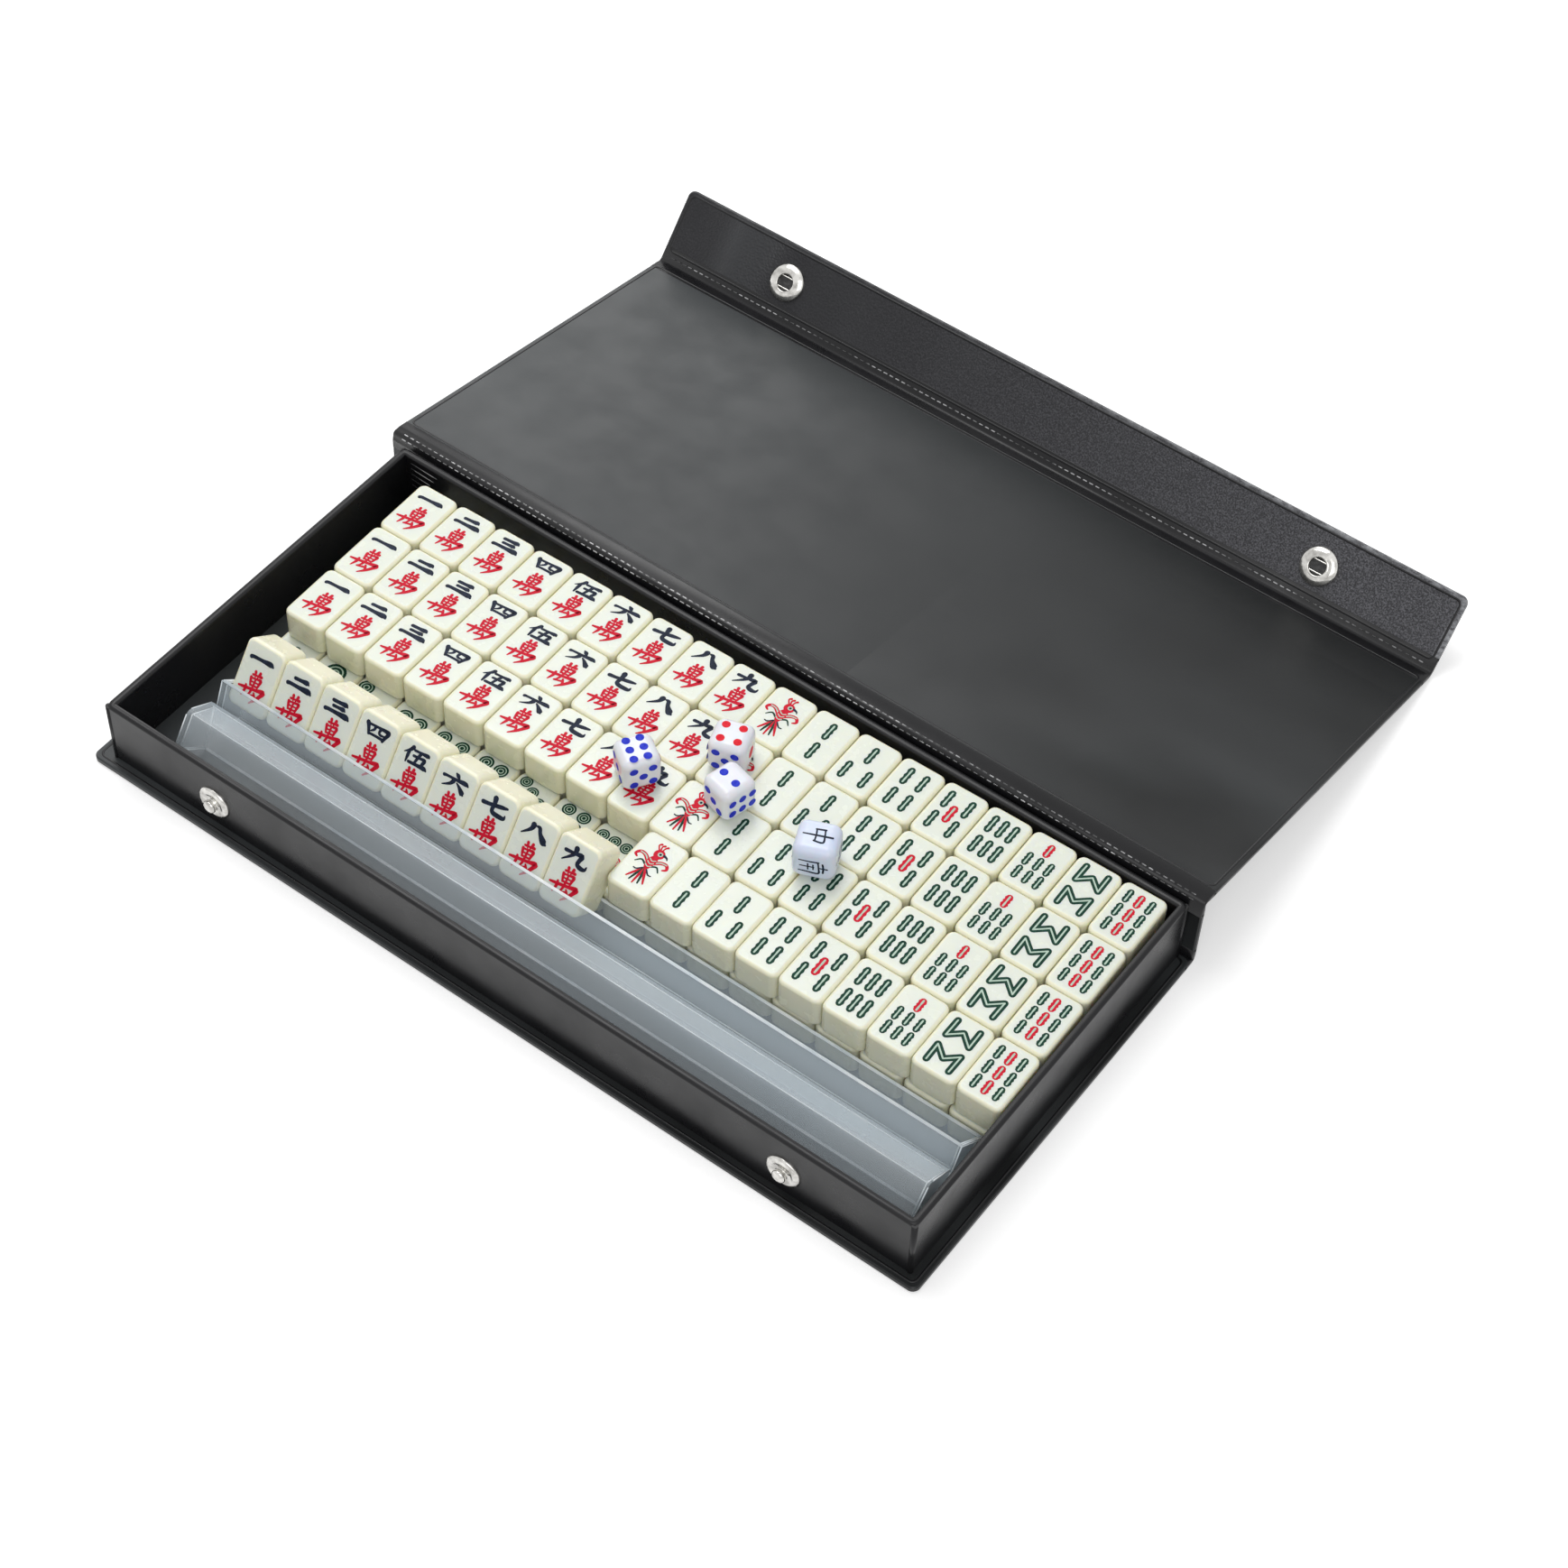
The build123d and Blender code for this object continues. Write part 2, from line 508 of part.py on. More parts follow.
# The nine tiles stood in the rear rack lean on its short wall and are wedged between both walls.
inner_web = RACK_WEB + 2 * RACK_WALL * math.tan(FLARE) - 2 * RACK_WALL / math.cos(FLARE)
wedge_need = RACKED_FRONT_CLEAR + (TILE_THICK + RACKED_BACK_CLEAR) * math.cos(2 * FLARE)
RACKED_UP = (wedge_need - inner_web * math.cos(FLARE)) / math.sin(2 * FLARE)
SHORT_LEAN = TILT + FLARE
tile_up = Vector(0, math.sin(SHORT_LEAN), math.cos(SHORT_LEAN))
tile_out = Vector(0, -math.cos(SHORT_LEAN), math.sin(SHORT_LEAN))
inner_corner = rear_left + WEB_ALONG * (inner_web / 2) + WEB_OPEN * RACK_WALL
racked_foot = inner_corner + tile_up * (RACKED_UP + TILE_LENGTH / 2) + tile_out * RACKED_BACK_CLEAR
racked_origin = (RACKED_LEFT + RACKED_RUN / 2, racked_foot.Y, racked_foot.Z)
RACKED = Plane(origin=racked_origin, x_dir=(1, 0, 0), z_dir=tile_out)
tile_row("racked_characters", RACKED, HALF_COLUMNS, RACKED_PITCH)


# ---- Dice ----
def die(name, place, size, edge):
    """A cube with eased edges standing on the upper tiles."""
    x, y, turn = place
    spin = math.radians(turn)
    stand = Plane(
        origin=(x, y, TILES_TOP + LAY_CLEAR),
        x_dir=(math.cos(spin), math.sin(spin), 0),
        z_dir=(0, 0, 1),
    )
    with BuildPart(stand) as cube:
        Box(size, size, size, align=BOTTOM)
        chamfer(cube.edges(), edge)
    write(cube, name)


die("die_left", DIE_LEFT, DIE, DIE_EDGE)
die("die_back", DIE_BACK, DIE, DIE_EDGE)
die("die_right", DIE_RIGHT, DIE, DIE_EDGE)
die("wind_die", DIE_WIND, WIND_DIE, WIND_DIE_EDGE)
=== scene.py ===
import json
import math
import bmesh
import bpy
from mathutils import Matrix, Vector


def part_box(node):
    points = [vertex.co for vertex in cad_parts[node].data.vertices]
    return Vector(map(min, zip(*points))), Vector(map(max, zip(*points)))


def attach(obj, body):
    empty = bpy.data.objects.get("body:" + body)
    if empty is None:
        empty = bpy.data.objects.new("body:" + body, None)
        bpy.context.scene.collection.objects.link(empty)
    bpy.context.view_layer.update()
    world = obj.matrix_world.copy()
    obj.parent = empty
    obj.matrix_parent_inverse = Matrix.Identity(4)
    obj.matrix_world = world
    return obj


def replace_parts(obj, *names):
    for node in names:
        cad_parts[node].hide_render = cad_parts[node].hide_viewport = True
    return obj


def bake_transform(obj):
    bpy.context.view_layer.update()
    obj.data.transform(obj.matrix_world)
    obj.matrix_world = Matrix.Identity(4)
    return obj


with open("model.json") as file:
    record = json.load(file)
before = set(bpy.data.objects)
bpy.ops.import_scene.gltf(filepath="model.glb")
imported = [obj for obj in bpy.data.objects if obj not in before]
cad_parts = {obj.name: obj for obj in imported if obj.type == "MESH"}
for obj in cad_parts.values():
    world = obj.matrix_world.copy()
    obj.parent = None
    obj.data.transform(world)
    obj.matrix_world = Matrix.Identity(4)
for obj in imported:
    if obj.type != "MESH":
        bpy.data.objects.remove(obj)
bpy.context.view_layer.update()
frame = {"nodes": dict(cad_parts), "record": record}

# Sizes here are in millimetres and become metres through MM. X runs to the right, Y to the back.
MM = 0.001
TO_METRES = Matrix.Scale(MM, 4)
QUARTER = math.pi / 2
NODES = frame["nodes"]
BEHAVIOUR = frame["record"]["behaviour"]
BODY_OF = {node: body for body, nodes in BEHAVIOUR["bodies"].items() for node in nodes}
JOINTS = {joint["name"]: joint for joint in BEHAVIOUR["joints"]}


def add_object(name, data):
    """A new object in the scene."""
    item = bpy.data.objects.new(name, data)
    bpy.context.scene.collection.objects.link(item)
    return item


# ---- Camera, floor and light ----
# The camera's place, and its turn as a rotation vector: the axis times the angle in radians.
CAMERA_PLACE = (385.8, -480.0, 804.5)
CAMERA_TURN = (2.3515, 0.7918, -0.2421)
CAMERA_LENS = 78.92
CAMERA_SENSOR = 36
CAMERA_REACH = 20

WHITE = (1, 1, 1, 1)
ROOM_LIGHT = 0.42
FLOOR_WIDTH = 8
FLOOR_COLOUR = (0.82, 0.82, 0.82, 1)
FLOOR_GLOW = 0.42

# Each lamp's place, its side in metres and its power in watts; all of them face LAMP_TARGET.
LAMPS = {
    "key": ((-500, 300, 1300), 0.9, 10.5),
    "fill": ((700, -700, 1000), 0.9, 5),
    "sheen": ((-900, 1150, 620), 0.7, 3.5),
}
LAMP_TARGET = (0, 50, 0)


def make_camera():
    """The camera where the photograph was taken from."""
    data = bpy.data.cameras.new("camera")
    data.sensor_width = CAMERA_SENSOR
    data.lens = CAMERA_LENS
    data.clip_end = CAMERA_REACH
    camera = add_object("camera", data)
    turn = Vector(CAMERA_TURN)
    world_to_view = Matrix.Rotation(turn.length, 3, turn.normalized())
    view = world_to_view.transposed() @ Matrix.Diagonal((1, -1, -1))
    camera.matrix_world = Matrix.Translation(Vector(CAMERA_PLACE) * MM) @ view.to_4x4()
    bpy.context.scene.camera = camera


def feed(tree, node, *inputs, **named):
    """Sets a node's inputs, in order or by name with _ for a space, each to a socket or a value."""
    slots = dict(enumerate(inputs))
    slots.update((name.replace("_", " "), value) for name, value in named.items())
    for slot, value in slots.items():
        if isinstance(value, bpy.types.NodeSocket):
            tree.links.new(value, node.inputs[slot])
        else:
            node.inputs[slot].default_value = value


def add_node(tree, kind, *inputs, operation=None, **named):
    """A shader node with its inputs set."""
    node = tree.nodes.new(f"ShaderNode{kind}")
    if operation:
        node.operation = operation
    feed(tree, node, *inputs, **named)
    return node


def seen_directly(tree):
    """1 where the camera, a gloss or a glass sees the surface, and 0 where it only lights others."""
    path = add_node(tree, "LightPath").outputs
    either = add_node(tree, "Math", path["Is Camera Ray"], path["Is Glossy Ray"], operation="MAXIMUM")
    seen = add_node(tree, "Math", either.outputs[0], path["Is Transmission Ray"], operation="MAXIMUM")
    return seen.outputs[0]


def make_world():
    """A white room: plain light on the object, and pure white wherever the room itself is seen."""
    world = bpy.data.worlds.new("world")
    bpy.context.scene.world = world
    world.use_nodes = True
    tree = world.node_tree
    strength = add_node(tree, "MapRange", Value=seen_directly(tree), To_Min=ROOM_LIGHT, To_Max=1.0)
    feed(tree, tree.nodes["Background"], Color=WHITE, Strength=strength.outputs["Result"])


def make_floor():
    """A plain pale floor that keeps the object's shadow."""
    bpy.ops.mesh.primitive_plane_add(size=FLOOR_WIDTH, location=(0, 0, 0))
    floor = bpy.context.object
    floor.name = "floor"
    paint = bpy.data.materials.new("floor_paint")
    paint.use_nodes = True
    tree = paint.node_tree
    tree.nodes.clear()
    matt = add_node(tree, "BsdfDiffuse", Color=FLOOR_COLOUR)
    lift = add_node(tree, "Math", seen_directly(tree), FLOOR_GLOW, operation="MULTIPLY")
    glow = add_node(tree, "Emission", Strength=lift.outputs[0])
    both = add_node(tree, "AddShader", matt.outputs[0], glow.outputs[0])
    add_node(tree, "OutputMaterial", Surface=both.outputs[0])
    floor.data.materials.append(paint)


def make_lamp(name, place, side, power):
    """A square soft lamp that faces the object."""
    data = bpy.data.lights.new(name, "AREA")
    data.size = side
    data.energy = power
    lamp = add_object(name, data)
    lamp.location = Vector(place) * MM
    aim = Vector(LAMP_TARGET) * MM - lamp.location
    lamp.rotation_euler = aim.to_track_quat("-Z", "Y").to_euler()


bpy.context.scene.view_settings.view_transform = "Standard"
make_camera()
make_world()
make_floor()
for lamp_name, settings in LAMPS.items():
    make_lamp(lamp_name, *settings)


# ---- Materials ----
def scaled(colour, factor):
    """A colour made lighter or darker."""
    return tuple(part * factor for part in colour)


class Paint:
    """A material with a principled shader and short calls for its textures."""

    def __init__(self, name, colour, **sockets):
        self.material = bpy.data.materials.new(name)
        self.material.use_nodes = True
        self.tree = self.material.node_tree
        self.shader = self.tree.nodes["Principled BSDF"]
        self.set(Base_Color=(*colour, 1), **sockets)
        self.place = self.node("TexCoord")["Object"]
        self.bumps = None

    def node(self, kind, *inputs, **named):
        """A new node's outputs."""
        return add_node(self.tree, kind, *inputs, **named).outputs

    def set(self, **sockets):
        """Sets the shader's inputs, each to a socket or a value."""
        feed(self.tree, self.shader, **sockets)

    def maths(self, operation, first, second):
        """The result of an operation on two values."""
        return self.node("Math", first, second, operation=operation)[0]

    def along(self, axis):
        """Distance along X, Y or Z of the rest pose, in metres."""
        return self.node("SeparateXYZ", self.place)[axis]

    def facing(self, direction):
        """1 where the surface faces the direction and 0 across it."""
        normal = self.node("TexCoord")["Normal"]
        return self.node("VectorMath", normal, direction, operation="DOT_PRODUCT")["Value"]

    def noise(self, scale, detail, stretch=None):
        """Noise over the object; scale is in features per metre."""
        place = self.place
        if stretch:
            place = self.node("Mapping", Vector=place, Scale=stretch)["Vector"]
        return self.node("TexNoise", Vector=place, Scale=scale, Detail=detail)["Fac"]

    def cells(self, scale):
        """Distance to the nearest of scattered points, for leather-like grain."""
        return self.node("TexVoronoi", Vector=self.place, Scale=scale)["Distance"]

    def ramp(self, value, low, high, to_low=0, to_high=1):
        """The value's stretch from low to high spread over to_low to to_high."""
        ends = {"From_Min": low, "From_Max": high, "To_Min": to_low, "To_Max": to_high}
        return self.node("MapRange", Value=value, **ends)["Result"]

    def tint(self, value, other):
        """The colour that is there where the value is 0, and the other where it is 1."""
        base = self.shader.inputs["Base Color"]
        before = base.links[0].from_socket if base.is_linked else base.default_value
        mix = self.tree.nodes.new("ShaderNodeMix")
        mix.data_type = "RGBA"
        feed(self.tree, mix, A=before, B=(*other, 1), Factor=value)
        self.set(Base_Color=mix.outputs["Result"])

    def rough(self, value, low, high):
        """Roughness from low to high over the middle of a noise."""
        self.set(Roughness=self.ramp(value, 0.35, 0.65, low, high))

    def bump(self, value, depth, strength=1.0):
        """A relief of the given depth in millimetres, on top of any other."""
        below = {"Normal": self.bumps} if self.bumps else {}
        bump = self.node("Bump", Strength=strength, Distance=depth * MM, Height=value, **below)
        self.bumps = bump["Normal"]
        self.set(Normal=self.bumps)


def vinyl_paint(name, colour, roughness, gloss, wave, folds_and_shade=False):
    """Wrapped black vinyl: fine leather grain over slow waves; where asked, a few folds at one end, with
    painted highlights on their crests and painted shade that darkens the vinyl towards that end.
    """
    paint = Paint(name, colour, Specular_IOR_Level=gloss)
    slow = paint.noise(16, 2)
    paint.tint(paint.ramp(slow, 0.3, 0.7), scaled(colour, 1.25))
    paint.rough(paint.noise(60, 4), roughness - 0.05, roughness + 0.07)
    paint.bump(slow, wave)
    if folds_and_shade:
        add_lid_folds(paint, colour)
    paint.bump(paint.cells(1400), 0.015, 0.4)
    paint.bump(paint.noise(900, 2), 0.012, 0.4)
    return paint.material


def add_lid_folds(paint, colour):
    """Soft folds at the lid's right end near its spine, with painted highlights on their crests; painted
    shade darkens the lining towards the right end.
    """
    folds = paint.noise(26, 1, stretch=(0.5, 0.9, 1))
    at_right = paint.ramp(paint.along(0), 0.02, 0.15)
    by_spine = paint.ramp(paint.along(1), 0.08, 0.19, 1, 0)
    where = paint.maths("MULTIPLY", at_right, by_spine)
    # Painted shade: darker towards the right end, standing in for the light's reflection falling off there.
    paint.tint(paint.ramp(paint.along(0), -0.15, 0.10), scaled(colour, 0.22))
    # Painted highlights: lighter on the fold crests, as if they caught the light.
    crest_highlights = paint.ramp(folds, 0.42, 0.75)
    paint.tint(paint.maths("MULTIPLY", crest_highlights, where), scaled(colour, 1.1))
    paint.bump(paint.maths("MULTIPLY", folds, where), 9)


def flap_paint():
    """The flap's lining: leather grain with painted glints that grow stronger towards its right end, soft
    folds at its left end with painted highlights on their crests, and worn pale along its edges.
    """
    paint = Paint("flap_lining_vinyl", (0.009, 0.009, 0.011), Specular_IOR_Level=0.32)
    grain = paint.noise(2000, 3)
    # Painted glints: pale specks on the grain, strongest at the right end and faint at the left.
    glint_specks = paint.ramp(grain, 0.42, 0.66, 0.1, 0.6)
    at_right = paint.ramp(paint.along(0), -0.08, 0.12, 0.1)
    paint.tint(paint.maths("MULTIPLY", glint_specks, at_right), (0.20, 0.20, 0.22))
    right_end = paint.ramp(paint.along(0), 0.1482, 0.1506)
    top_edge = paint.ramp(paint.along(2), 0.0205, 0.0214, 0, 0.8)
    right_half = paint.ramp(paint.along(0), -0.05, 0.11, 0.1)
    edges = paint.maths("MAXIMUM", right_end, paint.maths("MULTIPLY", top_edge, right_half))
    wear = paint.ramp(paint.noise(700, 6, stretch=(0.35, 1, 1)), 0.4, 0.62, 0.1, 0.75)
    paint.tint(paint.maths("MULTIPLY", edges, wear), (0.42, 0.43, 0.45))
    paint.rough(paint.noise(90, 4), 0.3, 0.44)
    folds = paint.noise(34, 1, stretch=(1, 0.3, 0.3))
    at_left = paint.ramp(paint.along(0), -0.15, -0.07, 1, 0.12)
    # Painted highlights: the fold crests at the left end are lighter.
    crest_highlights = paint.ramp(folds, 0.45, 0.62, 0, 0.8)
    paint.tint(paint.maths("MULTIPLY", crest_highlights, at_left), (0.05, 0.052, 0.056))
    paint.bump(paint.maths("MULTIPLY", folds, at_left), 16)
    paint.bump(paint.cells(1100), 0.12, 1.0)
    paint.bump(grain, 0.05, 0.8)
    return paint.material


IVORY_GLOW = {"Subsurface_Weight": 0.35, "Subsurface_Scale": 0.004, "Subsurface_Radius": (1.0, 0.8, 0.35)}


def ivory_paint(name, face):
    """Cast ivory plastic: creamy at its edges and sides, and paler and cooler on the printed face."""
    paint = Paint(name, (0.86, 0.845, 0.67), Specular_IOR_Level=0.5, **IVORY_GLOW)
    paint.tint(paint.ramp(paint.noise(70, 3), 0.3, 0.7), (0.84, 0.82, 0.62))
    paint.tint(paint.ramp(paint.facing(face), 0.93, 0.998), (0.755, 0.79, 0.70))
    paint.rough(paint.noise(240, 4), 0.2, 0.3)
    paint.bump(paint.noise(160, 2), 0.02)
    return paint.material


def frosted_paint():
    """Frosted clear plastic: a thin milky haze that thickens where the wall is seen edge on."""
    paint = Paint("frosted_plastic", (0.84, 0.91, 0.95), Specular_IOR_Level=0.7)
    streaks = paint.noise(40, 2, stretch=(0.2, 1, 1))
    paint.tint(paint.ramp(streaks, 0.35, 0.65), (0.74, 0.84, 0.91))
    paint.rough(paint.noise(70, 3), 0.14, 0.28)
    edge_on = paint.node("LayerWeight", Blend=0.3)["Facing"]
    haze = paint.ramp(edge_on, 0.25, 0.95, 0.22, 0.66)
    veil = paint.ramp(streaks, 0.35, 0.65, -0.02, 0.03)
    paint.set(Alpha=paint.maths("ADD", haze, veil))
    return paint.material


def speckled_paint(name, colour, other, tones, rough=None, relief=None, **sockets):
    """A finish that varies between two colours, and in its gloss and relief where they are given.

    Each is a noise's scale and detail, then its low and high, the roughness from and to, or a depth.
    """
    paint = Paint(name, colour, **sockets)
    scale, detail, low, high = tones
    paint.tint(paint.ramp(paint.noise(scale, detail), low, high), other)
    if rough:
        scale, detail, low, high = rough
        paint.rough(paint.noise(scale, detail), low, high)
    if relief:
        scale, detail, depth = relief
        paint.bump(paint.noise(scale, detail), depth)
    return paint.material


GLOSS = "Specular_IOR_Level"
# Paint in the tile's engraved lines, a little uneven in tone and height.
INK = {"tones": (900, 2, 0.35, 0.65), "relief": (1800, 2, 0.03), "Roughness": 0.45, GLOSS: 0.12}
# Moulded dice plastic, slightly translucent.
DIE = {
    "tones": (150, 2, 0.3, 0.7),
    "rough": (300, 3, 0.16, 0.26),
    "relief": (220, 2, 0.02),
    "Subsurface_Weight": 0.2,
    "Subsurface_Scale": 0.003,
}
# Painted glints: pale rods on the edges of clear plastic, standing in for the light that travels in the wall
# and comes out there.
EDGE_GLINT = {"tones": (120, 3, 0.35, 0.65), "Roughness": 0.15, "Alpha": 0.92}
# Plated snap metal with handling scratches and a little wear.
PLATING = {"tones": (400, 3, 0.4, 0.7), "rough": (700, 4, 0.09, 0.25), "relief": (500, 2, 0.02)}
# Heat-sealed vinyl of a weld line, shinier than the grain round it; its pale patches are painted glints.
SEALED_GLINTS = {"tones": (110, 4, 0.42, 0.54), "relief": (900, 2, 0.02), "Roughness": 0.22, GLOSS: 0.9}
# The well of a snap socket: a dark disc with lighter patches.
WELL_PATCHES = {"tones": (900, 3, 0.4, 0.7), "Roughness": 0.35}
# Raw grey board with flecks of fibre.
FIBRES = {"tones": (600, 4, 0.4, 0.65), "relief": (900, 3, 0.05), "Roughness": 0.85}

STAND_LEAN = math.atan2(*JOINTS["racked_tiles_draw"]["axis"][1:])
STOOD_FACE = (0, -math.cos(STAND_LEAN), math.sin(STAND_LEAN))

VINYL = vinyl_paint("black_vinyl", (0.006, 0.006, 0.007), 0.30, 0.30, 0.2)
# The lining carries painted shade towards its right end and painted highlights on the lid's fold crests.
SHADED_LINING = vinyl_paint("lining_vinyl", (0.042, 0.046, 0.048), 0.36, 0.24, 0.6, folds_and_shade=True)
FLAP = flap_paint()
IVORY = ivory_paint("ivory_plastic", (0, 0, 1))
IVORY_STOOD = ivory_paint("ivory_plastic_stood", STOOD_FACE)
FROSTED = frosted_paint()
BLUE_BLACK = speckled_paint("ink_blue_black", (0.006, 0.010, 0.022), (0.014, 0.022, 0.045), **INK)
RED = speckled_paint("ink_red", (0.55, 0.004, 0.022), (0.62, 0.010, 0.035), **INK)
GREEN = speckled_paint("ink_green", (0.003, 0.030, 0.018), (0.007, 0.050, 0.030), **INK)
PALE = speckled_paint("ink_pale", (0.42, 0.56, 0.47), (0.50, 0.62, 0.52), **INK)
PIP_BLUE = speckled_paint("pip_blue", (0.012, 0.025, 0.50), (0.03, 0.05, 0.60), **INK)
PIP_RED = speckled_paint("pip_red", (0.68, 0.008, 0.02), (0.76, 0.02, 0.04), **INK)
DIE_WHITE = speckled_paint("white_plastic", (0.80, 0.81, 0.85), (0.75, 0.77, 0.84), **DIE)
DIE_BLUISH = speckled_paint("bluish_plastic", (0.70, 0.76, 0.90), (0.64, 0.71, 0.88), **DIE)
CLEAR_EDGE_GLINT = speckled_paint("clear_plastic_edge_glint", (0.92, 0.95, 0.96), (0.70, 0.78, 0.83), **EDGE_GLINT)
NICKEL = speckled_paint("nickel_steel", (0.72, 0.71, 0.68), (0.40, 0.39, 0.37), Metallic=1, **PLATING)
WELD_GLINTS = speckled_paint("weld_vinyl_glints", (0.42, 0.42, 0.43), (0.02, 0.02, 0.022), **SEALED_GLINTS)
WELL = speckled_paint("socket_well", (0.008, 0.008, 0.009), (0.05, 0.05, 0.05), **WELL_PATCHES)
BOARD = speckled_paint("grey_board", (0.36, 0.34, 0.31), (0.25, 0.24, 0.22), **FIBRES)


def cad_finish(node):
    """The material of a CAD node, told from its name."""
    if node.endswith("_board"):
        return BOARD
    if node == "flap_lining":
        return FLAP
    if "lining" in node:
        return SHADED_LINING
    if node.startswith(("snap", "stud", "socket")):
        return NICKEL
    if node.startswith("rack_"):
        return FROSTED
    return VINYL


for node_name, cad_piece in NODES.items():
    cad_piece.data.materials.clear()
    cad_piece.data.materials.append(cad_finish(node_name))


# ---- Mesh helpers ----
JOIN_DISTANCE = 0.01 * MM
LEAST_CORNER = 0.08


def mesh_piece(name, build, materials):
    """An object whose mesh is built by build(bm)."""
    bm = bmesh.new()
    build(bm)
    mesh = bpy.data.meshes.new(name)
    bm.to_mesh(mesh)
    bm.free()
    for material in materials:
        mesh.materials.append(material)
    return add_object(name, mesh)


def rigid_piece(name, build, materials, body):
    """A piece that rides on one body and takes its finish from a slot."""
    piece = mesh_piece(name, build, materials)
    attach(piece, body)
    return piece


def joined_mesh(node):
    """A CAD node's mesh with its doubled corners joined."""
    bm = bmesh.new()
    bm.from_mesh(NODES[node].data)
    bmesh.ops.remove_doubles(bm, verts=bm.verts, dist=JOIN_DISTANCE)
    return bm


def islands(node):
    """Middles of a node's separate solids, from left to right."""
    bm = joined_mesh(node)
    seen = set()
    middles = []
    for start in bm.verts:
        if start in seen:
            continue
        seen.add(start)
        reached = [start]
        points = []
        while reached:
            vert = reached.pop()
            points.append(vert.co.copy())
            for edge in vert.link_edges:
                other = edge.other_vert(vert)
                if other not in seen:
                    seen.add(other)
                    reached.append(other)
        middles.append(sum(points, Vector()) / len(points))
    bm.free()
    return sorted(middles, key=lambda middle: middle.x)


def turns(sides):
    """Angles of evenly spread points round a circle."""
    return [2 * math.pi * side / sides for side in range(sides)]


def rounded_loop(low, high, radius, steps=4):
    """Points (x, y, outward x, outward y) round a rectangle with round corners."""
    loop = []
    for corner in range(4):
        right = corner in (0, 3)
        back = corner in (0, 1)
        centre_x = high[0] - radius if right else low[0] + radius
        centre_y = high[1] - radius if back else low[1] + radius
        for step in range(steps + 1):
            turn = QUARTER * (corner + step / steps)
            out_x, out_y = math.cos(turn), math.sin(turn)
            loop.append((centre_x + radius * out_x, centre_y + radius * out_y, out_x, out_y))
    return loop


def add_walls(bm, rings, smooth=False):
    """Faces from each closed ring of points to the next, which may be a single point."""
    walls = []
    for ring, after in zip(rings, rings[1:]):
        for i in range(len(ring)):
            k = (i + 1) % len(ring)
            ends = after if len(after) == 1 else (after[k], after[i])
            face = bm.faces.new((ring[i], ring[k], *ends))
            face.smooth = smooth
            walls.append(face)
    return walls


def add_block(bm, matrix, size, corner, rim, steps=4):
    """A block with round upright corners and rounded rims, in millimetres of the matrix's frame."""
    reach_x, reach_y, reach_z = (side / 2 for side in size)
    levels = []
    for step in range(steps + 1):
        turn = QUARTER * step / steps
        levels.append((rim * (1 - math.sin(turn)), rim * (1 - math.cos(turn)) - reach_z))
    levels += [(inset, -height) for inset, height in reversed(levels)]
    rings = []
    for inset, height in levels:
        high = (reach_x - inset, reach_y - inset)
        low = (-high[0], -high[1])
        loop = rounded_loop(low, high, max(corner - inset, LEAST_CORNER), steps)
        rings.append([bm.verts.new(matrix @ Vector((x, y, height))) for x, y, *_ in loop])
    add_walls(bm, rings)
    bm.faces.new(rings[0][::-1])
    bm.faces.new(rings[-1])


def smooth_flats(piece):
    """Smooth shading that leaves the large flat faces flat."""
    for face in piece.data.polygons:
        face.use_smooth = True
    weighted = piece.modifiers.new("weighted", "WEIGHTED_NORMAL")
    weighted.keep_sharp = False
    weighted.weight = 100


# ---- Tiles ----
TILE = (14.8, 22.0, 11.5)
TILE_CORNER = 2.4
TILE_RIM = 1.2
TO_FACE = Matrix.Translation((0, 0, TILE[2] / 2))
TO_MIDDLE = Matrix.Translation((0, 0, -TILE[2] / 2))
UPPER_YAW = math.radians(1.1)


def tile_turn(node):
    """How the tiles of a node are turned: the upper layer is askew and the stood tiles lean back."""
    if node.startswith("upper"):
        return Matrix.Rotation(UPPER_YAW, 4, "Z")
    if node.startswith("racked"):
        return Matrix.Rotation(QUARTER - STAND_LEAN, 4, "X")
    return Matrix.Identity(4)


def tile_frames(node):
    """Each tile's frame: its origin is the middle of the printed face, in millimetres."""
    return [Matrix.Translation(middle) @ tile_turn(node) @ TO_METRES @ TO_FACE for middle in islands(node)]


def make_tiles(node):
    """Nine rounded tiles in place of a node's bevelled ones."""

    def build(bm):
        for place in tile_frames(node):
            add_block(bm, place @ TO_MIDDLE, TILE, TILE_CORNER, TILE_RIM)

    plastic = IVORY_STOOD if node.startswith("racked") else IVORY
    piece = rigid_piece(f"{node}_tiles", build, [plastic], BODY_OF[node])
    smooth_flats(piece)
    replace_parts(piece, node)


